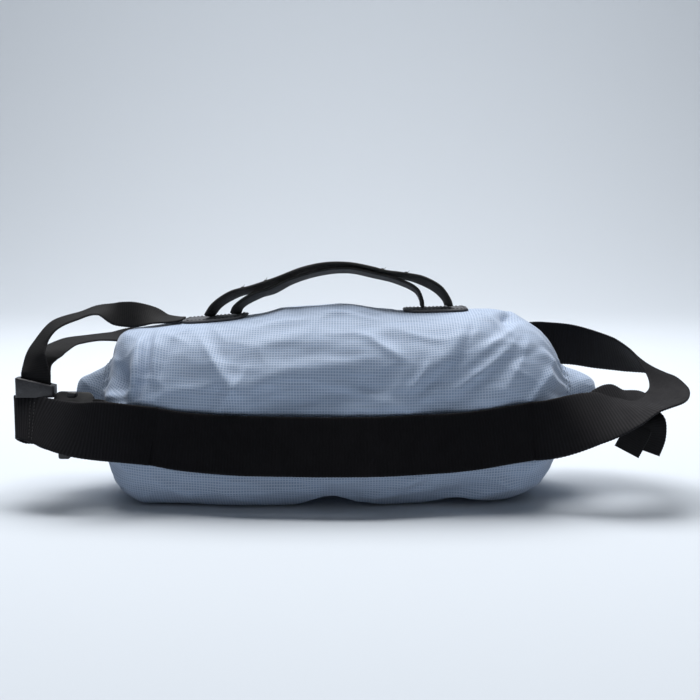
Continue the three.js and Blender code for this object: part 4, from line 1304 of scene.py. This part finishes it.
def rounded_copy(name: str, node: str, radius: float) -> bpy.types.Object:
    """A copy of a CAD node with its sharp edges rounded.

    Args:
        name: The piece's name.
        node: The CAD node.
        radius: The radius of its edges.

    Returns:
        The new object.
    """
    weld, flat, sharp_from, shade_from = 0.01 * MM, math.radians(4), math.radians(35), math.radians(32)
    work = bmesh.new()
    work.from_mesh(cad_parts[node].data)
    bmesh.ops.remove_doubles(work, verts=work.verts, dist=weld)
    bmesh.ops.dissolve_limit(work, angle_limit=flat, verts=work.verts, edges=work.edges)
    sharp = [e for e in work.edges if len(e.link_faces) == 2 and e.calc_face_angle(0) > sharp_from]
    bmesh.ops.bevel(work, geom=sharp, offset=radius, segments=3, profile=0.5, affect="EDGES",
                    clamp_overlap=True)
    mesh = bpy.data.meshes.new(name)
    work.to_mesh(mesh)
    work.free()
    piece = placed(name, mesh)
    mesh.set_sharp_from_angle(angle=shade_from)
    return piece


@dataclass
class CarryHandle:
    """The carry handle: two webbing layers on two patches.

    Rows give the place between the outer layer's feet and the height as a share of the handle's rise.
    """

    bag: BagShape
    maker: StrapMaker
    wear: Wardrobe
    width: float = 22 * MM
    thickness: float = 2.2 * MM
    rise: float = 33 * MM
    pitch: float = HANDLE_RIB
    rib: float = 0.13 * MM
    feet: tuple[float, float] = (-0.565, 0.5)
    lean: float = 0.2
    lean_from: float = 0.4
    foot_gap: float = 0.75 * MM
    patch_at: tuple[float, float] = (-0.535, 0.44)
    patch_size: tuple[float, float, float] = (46 * MM, 28 * MM, 1.4 * MM)
    outer: Rows = ((0, 0), (0.035, 0.23), (0.108, 0.45), (0.19, 0.55), (0.283, 0.7), (0.39, 0.9),
                   (0.49, 0.985), (0.59, 0.96), (0.68, 0.85), (0.73, 0.77), (0.81, 0.69), (0.88, 0.59),
                   (0.954, 0.37), (0.992, 0.12), (1.0, 0))
    inner: Rows = ((0.11, 0), (0.125, 0.15), (0.2, 0.38), (0.263, 0.47), (0.339, 0.65), (0.431, 0.79),
                   (0.527, 0.858), (0.6, 0.84), (0.68, 0.735), (0.778, 0.59), (0.862, 0.36), (0.885, 0.15),
                   (0.89, 0))
    # place between the feet, turn of the width to the right: the legs stand a little askew on the patches
    outer_turns: Rows = ((0, -0.24), (0.2, -0.2), (0.35, 0), (0.75, 0), (0.88, 0.26), (1, 0.14))
    inner_turns: Rows = ((0.11, -0.24), (0.25, -0.2), (0.38, 0), (0.8, 0), (0.89, 0))
    taper: float = 0.3
    tacks: tuple[float, ...] = (0.17, 0.26, 0.7, 0.79)
    tack_threads: int = 9
    tack_width: float = 0.86
    tack_thread: float = 0.3 * MM
    loose_thread: float = 0.16 * MM
    # ahead (mm), out (mm): the arch of one thread of a bar tack
    tack_arch: Rows = ((-1.3, -0.1), (-0.7, 0.3), (0.0, 0.4), (0.7, 0.3), (1.3, -0.1))
    patch_steps: tuple[int, int] = (64, 44)
    patch_rim: float = 0.06
    patch_edge: float = 0.05
    patch_margin: float = 3 * MM
    patch_stitch: float = 2.8 * MM
    patch_thread: float = 0.26 * MM

    def build(self) -> list[bpy.types.Object]:
        """Makes both layers, the patches and their stitches."""
        made = []
        for name, rows in (("handle_outer", self.outer), ("handle_inner", self.inner)):
            frames = self.maker.frames(self.route(rows), self.pitch, self.width, self.thickness)
            strap = self.maker.weave(name, frames, self.width, self.thickness, self.pitch, self.rib)
            made.append(dress(strap, self.wear.handle, "handle_webbing", name + "_strap"))
            if rows is self.outer:
                made.append(self.bar_tacks(frames))
        for name, at in zip(("left", "right"), self.patch_at):
            made += self.patch(name, at)
        return made

    def patch_top(self, x: float) -> float:
        """The height of a patch under the corners of a handle foot at x."""
        xs = np.array([x + k * self.thickness for k in (-1, 0, 1) for _ in range(3)])
        ys = np.array([m * self.width / 2 for _ in range(3) for m in (-1, 0, 1)])
        return float(np.max(self.bag.top(xs, ys))) + self.bag.seat_gap + self.patch_size[2] + self.foot_gap

    def route(self, rows: Rows) -> tuple[np.ndarray, np.ndarray, np.ndarray]:
        """A layer's points, widths and leans."""
        start, end = (foot * self.bag.half for foot in self.feet)
        xs = np.array([start + (end - start) * row[0] for row in rows])
        rise = np.array([row[1] for row in rows])
        low, high = self.patch_top(xs[0]), self.patch_top(xs[-1])
        z = low + (high - low) * (xs - xs[0]) / (xs[-1] - xs[0]) + rise * self.rise
        place = (xs / self.bag.half - self.feet[0]) / (self.feet[1] - self.feet[0])
        turned = np.interp(place, *zip(*(self.outer_turns if rows is self.outer else self.inner_turns)))
        widths = np.stack([turned, -np.ones_like(xs), self.lean * np.minimum(1, rise / self.lean_from)], 1)
        return np.stack([xs, 0 * xs, z], 1), unit(widths), np.zeros((len(xs), 1))

    def bar_tacks(self, frames: Frames) -> bpy.types.Object:
        """Short rows of thread across the handle, with a loose end on each."""
        parts = []
        for share in self.tacks:
            point, ahead, side, out = frames.at(share)
            out = out if out.z > 0 else -out
            side = side.normalized()
            face = point + out * (self.thickness / 2)
            for place in np.linspace(-0.5, 0.5, self.tack_threads).tolist():
                across = side * (place * self.width * self.tack_width)
                path = [face + across + ahead * (s * MM) + out * (h * MM) for s, h in self.tack_arch]
                parts.append(tube(np.array(path), self.tack_thread))
            near = face + side * (self.width * 0.47)
            loose = [near + out * (0.3 * s * s * MM) + ahead * (0.8 * s * MM) for s in (0, 0.9, 1.7, 2.4)]
            parts.append(tube(np.array(loose), self.loose_thread))
        return dress(join_parts("handle_bar_tacks", parts), self.wear.black_thread, "handle_webbing")

    def patch(self, name: str, at: float) -> list[bpy.types.Object]:
        """One patch on the bag's upper face, and the stitches round it.

        Args:
            name: Which patch, left or right.
            at: Its place as a share of the half length.

        Returns:
            The patch and its stitches.
        """
        length, depth, thick = self.patch_size
        ends, share = (np.linspace(-1, 1, count) for count in self.patch_steps)
        xs = at * self.bag.half + np.linspace(-length / 2, length / 2, len(ends))
        round_ends, edge = self.rounded(ends), self.rounded(share)
        rings = []
        for x, end, round_end in zip(xs, ends, round_ends):
            y = share * depth / 2 * (1 - self.taper * abs(end) ** 6)
            base = self.bag.top(np.full_like(y, x), y) + self.bag.seat_gap
            upper = base + thick * round_end * edge
            low = np.stack([np.full_like(y, x), y, base], 1)
            rings.append(np.concatenate([low, np.stack([np.full_like(y, x), y, upper], 1)[::-1]]))
        rings = np.array(rings)
        u = np.repeat(xs[:, None], rings.shape[1] + 1, 1)
        v = np.concatenate([rings[..., 1], rings[:, :1, 1]], 1)
        cloth = dress(make_skin(f"patch_{name}", rings, u, v), self.wear.patch, "patch_cloth",
                      f"handle_patch_{name}")
        edge_x, edge_y = length / 2 - self.patch_margin, depth / 2 - self.patch_margin
        corners = np.array([(-1, -1), (1, -1), (1, 1), (-1, 1), (-1, -1)]) * (edge_x, edge_y)
        flat = np.concatenate([np.linspace(a, b, 24, endpoint=False) for a, b in zip(corners, corners[1:])])
        x = at * self.bag.half + flat[:, 0]
        z = self.bag.top(x, flat[:, 1]) + self.bag.seat_gap + thick
        track = np.stack([x, flat[:, 1], z], 1)
        out = np.tile([0.0, 0.0, 1.0], (len(track), 1))
        sewn = join_parts(f"patch_{name}_stitches",
                          stitches(track, out, self.patch_stitch, self.patch_thread))
        return [cloth, dress(sewn, self.wear.black_thread, "patch_cloth")]

    def rounded(self, share: np.ndarray) -> np.ndarray:
        """The share of a patch's thickness at places from its middle, 0, to its edges, 1 and -1."""
        past = np.maximum((np.abs(share) - (1 - self.patch_rim)) / self.patch_rim, 0)
        return np.sqrt(np.maximum(1 - past**2, self.patch_edge))


@dataclass
class WaistBelt:
    """The waist belt with its buckle, its doubled right end, its slider and two loose ends."""

    bag: BagShape
    maker: StrapMaker
    wear: Wardrobe
    width: float = 40 * MM
    thickness: float = 1.8 * MM
    pitch: float = BELT_RIB
    rib: float = 0.26 * MM
    rib_columns: int = 11
    fold_radius: float = 4.4 * MM
    hem: float = 15 * MM
    female_ahead: float = 21 * MM
    female_length: float = 28 * MM
    anchor_width: float = 32 * MM
    tail_width: float = 20 * MM
    tail_thickness: float = 1.6 * MM
    tail_rib: float = 0.12 * MM
    hardware_round: float = 0.7 * MM
    latch_round: float = 1.6 * MM
    hem_rows: tuple[float, ...] = (9.5 * MM, 12.5 * MM)
    hem_stitch: float = 2.6 * MM
    hem_thread: float = 0.28 * MM
    # how far the ribs lean at the fold, over which lengths that begins and ends
    fan_lean: float = 7 * MM
    fan_in: tuple[float, float] = (0, 24 * MM)
    fan_out: tuple[float, float] = (30 * MM, 75 * MM)
    doubled: tuple[float, float] = (0.465, 0.63)
    doubled_rise: tuple[float, float] = (0.075, 0.25)
    doubled_turn: float = 25.0
    doubled_wide: float = 0.8
    doubled_lift: float = 7 * MM
    doubled_gaps: tuple[float, float] = (3, 13)
    rows: Rows = (
        (-1.35, -0.67, 0.458, 0, 0.55, 0.835, 0.76, -0.5),
        (-1.25, -0.765, 0.445, 0, 0.54, 0.84, 0.84, -0.3),
        (-1.17, -0.88, 0.433, 0, 0.5, 0.866, 0.88, -0.12),
        (-1.07, -1.0, 0.422, 0, 0.3, 0.95, 0.93),
        (-0.96, -1.05, 0.418, 0, 0.1, 1, 1),
        (-0.8, -1.02, 0.395, 0, 0, 1, 1),
        (-0.64, -0.9, 0.365, 0, 0.05, 1, 1),
        (-0.37, -0.9, 0.352, 0, 0.2, 0.98, 1),
        (0.06, -0.9, 0.35, 0, 0.28, 0.96, 1),
        (0.36, -0.9, 0.356, 0, 0.2, 0.98, 1),
        (0.56, -0.9, 0.368, 0, 0.05, 1, 1),
        (0.72, -0.9, 0.395, 0, 0, 1, 1),
        (0.9, -1.0, 0.425, 0, 0.1, 1, 1),
        (1.055, -0.96, 0.474, 0, 0.6, 0.78, 1),
        (1.15, -0.9, 0.495, 0, 0.77, 0.63, 0.97),
        (1.228, -0.84, 0.51, 0, 0.9, 0.43, 0.9),
        (1.296, -0.77, 0.522, -0.1, 0.95, 0.16, 0.8),
        (1.355, -0.68, 0.535, -0.35, 0.92, 0.12, 0.76),
        (1.42, -0.53, 0.55, -0.65, 0.7, 0.12, 0.74),
        (1.46, -0.31, 0.575, -0.9, 0.35, 0.14, 0.7),
        (1.472, -0.06, 0.605, -0.93, -0.05, 0.25, 0.74),
        (1.455, 0.17, 0.642, -0.8, -0.45, 0.3, 0.84),
        (1.405, 0.4, 0.675, -0.5, -0.7, 0.5, 0.95),
        (1.325, 0.62, 0.7, -0.2, -0.72, 0.66, 1),
        (1.225, 0.8, 0.72, 0, -0.66, 0.75, 1),
        (1.11, 0.93, 0.742, 0, -0.55, 0.83, 1),
        (0.98, 0.95, 0.745, 0, -0.45, 0.9, 1),
        (0.88, 0.85, 0.742, 0, -0.4, 0.92, 1),
        (0.78, 0.75, 0.735, 0, -0.35, 0.94, 1),
        (0.68, 0.7, 0.73, 0, -0.35, 0.94, 1),
    )
    # name, middle (mm), size (mm): the ends of the buckle's latches, which show past the belt's edges
    latches: Sequence[tuple] = (
        ("buckle_latch_lower", (-187, -44, 38.5), (8, 6, 10)),
        ("buckle_latch_upper", (-181, -42, 78), (7, 6, 4)),
    )
    tails: dict[str, Rows] = field(default_factory=lambda: {
        "belt_tail_front": (
            (1.3, -0.63, 0.44, 0.8, 0.2, -0.2, 1), (1.285, -0.72, 0.4, 0.78, 0.1, -0.35, 1),
            (1.262, -0.76, 0.35, 0.76, 0, -0.45, 0.95), (1.234, -0.77, 0.287, 0.75, 0, -0.5, 0.95),
        ),
        "belt_tail_rear": (
            (1.33, -0.572, 0.456, 0.88, 0.15, 0.4, 1), (1.35, -0.655, 0.43, 0.85, 0.1, 0.1, 1),
            (1.352, -0.68, 0.36, 0.8, 0, -0.3, 0.95), (1.328, -0.7, 0.28, 0.75, 0, -0.5, 0.95),
        ),
    })

    def build(self) -> list[bpy.types.Object]:
        """Makes the belt and everything that it carries."""
        belt = self.maker.frames(self.bag.route(self.rows), self.pitch, self.width, self.thickness, Seat.WALL)
        whole = self.folded(belt)
        made = [self.strap("waist_belt_webbing", whole, self.width, "waist_belt", fan=self.fan)]
        made.append(self.hem_stitches(belt))
        made.append(self.second_layer(belt))
        made.append(self.anchor())
        for name, node in (("buckle_male_half", "buckle_male"), ("buckle_female_half", "buckle_female"),
                           ("belt_slider_bar", "belt_slider")):
            piece = rounded_copy(name, node, self.hardware_round)
            made.append(dress(piece, self.wear.plastic, "hardware_plastic", node))
        axes = (Vector((1, 0, 0)), Vector((0, 1, 0)), Vector((0, 0, 1)))
        for name, place, size in self.latches:
            piece = rounded_box(name, Vector(place) * MM, axes, [edge * MM for edge in size],
                                self.latch_round)
            made.append(dress(piece, self.wear.plastic, "hardware_plastic"))
        for name, rows in self.tails.items():
            made.append(self.narrow(name + "_webbing", self.bag.route(rows), self.tail_width, name))
        return made

    def narrow(self, name: str, route: tuple[np.ndarray, np.ndarray, np.ndarray], width: float, node: str,
               seat: Seat = Seat.FREE) -> bpy.types.Object:
        """A strap of the finer webbing, dressed in the place of a CAD node.

        Args:
            name: The piece's name.
            route: Points, widths and leans of its route.
            width: Its width.
            node: The CAD node that it stands for.
            seat: What it is kept clear of.

        Returns:
            The dressed strap.
        """
        frames = self.maker.frames(route, STRAP_RIB, width, self.tail_thickness, seat)
        piece = self.maker.weave(name, frames, width, self.tail_thickness, STRAP_RIB, self.tail_rib)
        return dress(piece, self.wear.strap, "belt_webbing", node)

    def strap(self, name: str, frames: Frames, width: float, node: str,
              fan: Callable[[np.ndarray], np.ndarray] | None = None) -> bpy.types.Object:
        """A strap of the belt's own webbing, dressed in the place of a CAD node."""
        piece = self.maker.weave(name, frames, width, self.thickness, self.pitch, self.rib,
                                 self.rib_columns, fan)
        return dress(piece, self.wear.belt, "belt_webbing", node)

    def fan(self, along: np.ndarray) -> np.ndarray:
        """How far the ribs lean near the folded left end."""
        past = along - (self.hem + math.pi * self.fold_radius)
        return self.fan_lean * smooth_step(*self.fan_in, past) * (1 - smooth_step(*self.fan_out, past))

    def folded(self, belt: Frames) -> Frames:
        """The belt's frames with the fold and the hem put before them."""
        step = self.pitch / self.maker.dense
        point, ahead, side, out = belt.point[0], belt.ahead[0], belt.side[0], belt.out[0]
        centre = point - out * self.fold_radius
        angles = np.linspace(math.pi, 0, int(math.pi * self.fold_radius / step))[:-1, None]
        turned = out * np.cos(angles) - ahead * np.sin(angles)
        arc = centre + turned * self.fold_radius
        seat = np.array([-0.98 * self.bag.half, 0, 0.43 * self.bag.height])
        seat[1] = self.bag.wall(seat[0], seat[2], np.array(-1.0)) - self.bag.seat_gap
        self.centre, self.anchor_seat = centre, seat
        self.buckle_ahead = unit(seat - centre)
        runs = np.arange(int(self.hem / step), 0, -1)[:, None] * step
        hem = arc[0] + self.buckle_ahead * runs
        points = np.vstack([hem, arc, belt.point])
        outs = np.vstack([np.tile(turned[0], (len(hem), 1)), turned, belt.out])
        sides = np.vstack([np.tile(side, (len(hem) + len(arc), 1)), belt.side])
        return Frames(points, unit(np.gradient(points, axis=0)), sides, outs, run_of(points))

    def hem_stitches(self, belt: Frames) -> bpy.types.Object:
        """Two sewn rows across the belt beside its fold."""
        parts = []
        for distance in self.hem_rows:
            i = int(np.searchsorted(belt.along, distance))
            reach = np.linspace(-0.44, 0.44, 30)[:, None] * self.width
            track = belt.point[i] + belt.side[i] * reach + belt.out[i] * self.thickness * 0.56
            out = np.tile(belt.out[i], (len(track), 1))
            parts += stitches(track, out, self.hem_stitch, self.hem_thread)
        return dress(join_parts("belt_hem_stitches", parts), self.wear.black_thread, "belt_webbing")

    def second_layer(self, belt: Frames) -> bpy.types.Object:
        """The doubled end behind the belt's right end."""
        last = 104
        rough = catmull_rom(self.bag.route(self.rows)[0], last + 1)
        marks = [int(np.argmin(np.linalg.norm(belt.point - rough[int(round(share * last))], axis=1)))
                 for share in self.doubled]
        part = belt.part(marks[0], marks[1])
        hump = np.sin(math.pi * np.linspace(0, 1, len(part.point)))[:, None]
        length = np.linalg.norm(part.side, axis=1, keepdims=True)
        across = part.side / length
        turn = math.radians(self.doubled_turn) * hump
        low, high = (self.thickness + gaps * self.bag.seat_gap for gaps in self.doubled_gaps)
        rise = [share * self.width for share in self.doubled_rise]
        point = (part.point - part.out * (low + (high - low) * hump)
                 + across * (rise[0] + (rise[1] - rise[0]) * hump))
        point[:, 2:] += self.doubled_lift * hump
        side = across * np.cos(turn) + part.out * np.sin(turn)
        out = part.out * np.cos(turn) - across * np.sin(turn)
        frames = Frames(point, part.ahead, side * length * self.doubled_wide, out, part.along - part.along[0])
        return self.strap("belt_second_layer", frames, self.width, "belt_doubled_end")

    def anchor(self) -> bpy.types.Object:
        """The short webbing from the buckle to the bag."""
        end = self.centre + self.buckle_ahead * (self.female_ahead + self.female_length + self.bag.seat_gap)
        places = [end + (self.anchor_seat - end) * share for share in (0.0, 0.4, 1.0)]
        places.append(np.array([-0.88 * self.bag.half, *places[-1][1:]]))
        widths = unit(np.array([(0, 0.3 * (1 - s), 1.0) for s in (0.0, 0.4, 1.0, 1.0)]))
        route = (np.array(places), widths, np.zeros((len(places), 1)))
        return self.narrow("buckle_anchor_webbing", route, self.anchor_width, "buckle_anchor_strap",
                           Seat.WALL)


@dataclass
class SideStraps:
    """The two straps of the left end and the keeper that holds them."""

    bag: BagShape
    maker: StrapMaker
    wear: Wardrobe
    width: float = 20 * MM
    thickness: float = 1.6 * MM
    pitch: float = STRAP_RIB
    rib: float = 0.12 * MM
    keeper_round: float = 0.9 * MM
    slope_from: float = 0.45
    slope: float = 5.5 * MM
    foot: float = 2.0 * MM
    upper: Rows = (
        (-0.676, -0.03, 0.928, 0, 1, 0, 1), (-0.76, -0.03, 0.93, 0, 0.97, 0.2, 1),
        (-0.83, 0, 0.945, 0, 0.75, 0.6, 1), (-0.91, 0, 0.952, 0, 0.45, 0.88, 1),
        (-0.97, -0.03, 0.957, 0.2, 0.5, 0.75, 0.95), (-1.05, -0.06, 0.977, 0.2, 0.95, 0.25, 1),
        (-1.13, -0.13, 0.952, 0.2, 0.95, 0.25, 1), (-1.23, -0.23, 0.905, -0.3, 0.9, 0.25, 1),
        (-1.282, -0.34, 0.822, -0.5, 0.85, 0.2, 1), (-1.296, -0.46, 0.755, -0.8, 0.6, 0, 1),
        (-1.287, -0.54, 0.68, -1, 0.05, 0, 1), (-1.287, -0.54, 0.63, -1, 0, 0, 1),
        (-1.287, -0.54, 0.564, -1, 0, 0, 1),
    )
    lower: Rows = (
        (-0.79, 0.8, 0.755, 0, 0, 1, 1), (-0.87, 0.82, 0.765, 0, 0.15, 0.98, 1),
        (-0.96, 0.83, 0.785, 0, 0.6, 0.8, 1), (-1.05, 0.73, 0.797, 0, 0.97, 0.18, 1),
        (-1.155, 0.55, 0.797, 0, 0.97, 0.08, 1), (-1.222, 0.28, 0.79, -0.15, 0.93, 0.12, 1),
        (-1.26, -0.06, 0.762, -0.35, 0.82, 0.22, 1), (-1.275, -0.26, 0.738, -0.6, 0.7, 0.28, 1),
        (-1.29, -0.45, 0.69, -1, 0, 0, 1), (-1.287, -0.495, 0.65, -1, 0, 0, 1),
        (-1.287, -0.5, 0.564, -1, 0, 0, 1),
    )

    def build(self) -> list[bpy.types.Object]:
        """Makes both straps and the keeper."""
        made = []
        for name, rows, seat in (("upper", self.upper, Seat.TOP), ("lower", self.lower, Seat.WALL)):
            frames = self.maker.frames(self.bag.route(rows), self.pitch, self.width, self.thickness, seat)
            piece = self.maker.weave(f"side_strap_{name}", frames, self.width, self.thickness, self.pitch,
                                     self.rib)
            made.append(dress(piece, self.wear.strap, "belt_webbing", f"strap_{name}_left"))
        made.append(self.keeper())
        return made

    def keeper(self) -> bpy.types.Object:
        """The moulded keeper, whose upper edge falls to the right."""
        piece = rounded_copy("strap_keeper_loop", "strap_keeper", self.keeper_round)
        low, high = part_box("strap_keeper")
        for vertex in piece.data.vertices:
            along = (vertex.co.x - low[0]) / (high[0] - low[0])
            up = (vertex.co.z - low[2]) / (high[2] - low[2])
            vertex.co.z -= self.foot * (1 - up)
            vertex.co.z -= self.slope * up * float(smooth_step(self.slope_from, 1.0, np.array(along)))
        return dress(piece, self.wear.keeper, "keeper_plastic", "strap_keeper")


@dataclass
class Studio:
    """A pale sweep of paper, soft light from above and the camera."""

    camera_at: tuple[float, float, float] = (0.010, -0.768, 0.198)
    pitch: float = 83.0
    lens: float = 54.98
    sensor: float = 36.0
    half_width: float = 4.0
    front: float = -4.0
    back: float = 2.6
    bend: float = 1.2
    height: float = 4.0
    paint: Colour = (0.6, 0.64, 0.69)
    air: Colour = (0.7, 0.85, 1.0)
    air_strength: float = 0.1
    # name, place, target, size of its side, power (W)
    lights: Sequence[tuple] = (
        ("overhead", (0.0, 0.4, 1.5), (0, 0, 0.05), 1.1, 31.5),
        ("front", (0.1, -1.7, 1.2), (0, 0, 0.05), 1.6, 3),
        ("wall", (0.0, 0.9, 2.6), (0, 2.6, 0.9), 2.4, 58),
    )

    def build(self) -> None:
        """Makes the sweep, the lights, the world and the camera."""
        self.sweep()
        for row in self.lights:
            self.light(*row)
        world = bpy.data.worlds.new("studio_world")
        world.use_nodes = True
        background = world.node_tree.nodes["Background"]
        background.inputs[0].default_value = rgba(self.air)
        background.inputs[1].default_value = self.air_strength
        bpy.context.scene.world = world
        data = bpy.data.cameras.new("camera")
        data.lens, data.sensor_width = self.lens, self.sensor
        camera = bpy.data.objects.new("camera", data)
        camera.location = self.camera_at
        camera.rotation_euler = (math.radians(self.pitch), 0, 0)
        bpy.context.scene.collection.objects.link(camera)
        bpy.context.scene.camera = camera
        bpy.context.scene.view_settings.view_transform = "Standard"

    def sweep(self) -> None:
        """The floor that bends up into the wall."""
        turns = np.linspace(0, math.pi / 2, 25)
        start = self.back - self.bend
        profile = [(self.front, 0.0)]
        profile += [(start + self.bend * math.sin(a), self.bend * (1 - math.cos(a))) for a in turns]
        profile.append((self.back, self.height))
        points = [(x, y, z) for y, z in profile for x in (-self.half_width, self.half_width)]
        faces = [[2 * i, 2 * i + 1, 2 * i + 3, 2 * i + 2] for i in range(len(profile) - 1)]
        floor = make_object("studio_sweep", np.array(points), faces)
        floor.data.materials.append(StudioPaint(self.paint).material())

    def light(self, name: str, place: Sequence[float], target: Sequence[float], size: float,
              power: float) -> None:
        """One square soft light.

        Args:
            name: The light's name.
            place: Where it stands.
            target: Where it points.
            size: The length of its side.
            power: Its power in watts.
        """
        data = bpy.data.lights.new(name, "AREA")
        data.size, data.energy = size, power
        lamp = bpy.data.objects.new(name, data)
        lamp.matrix_world = Matrix.Translation(place) @ (
            Vector(target) - Vector(place)).to_track_quat("-Z", "Y").to_matrix().to_4x4()
        bpy.context.scene.collection.objects.link(lamp)


def main() -> None:
    """Builds and dresses every part of the hip pack."""
    logging.basicConfig(level=logging.INFO, format="%(name)s: %(message)s")
    bag, wear = BagShape(), Wardrobe()
    maker = StrapMaker(bag)
    BagBody(bag, wear).build()
    MainZip(bag, wear).build()
    CarryHandle(bag, maker, wear).build()
    WaistBelt(bag, maker, wear).build()
    SideStraps(bag, maker, wear).build()
    Studio().build()


if __name__ == "__main__":
    main()
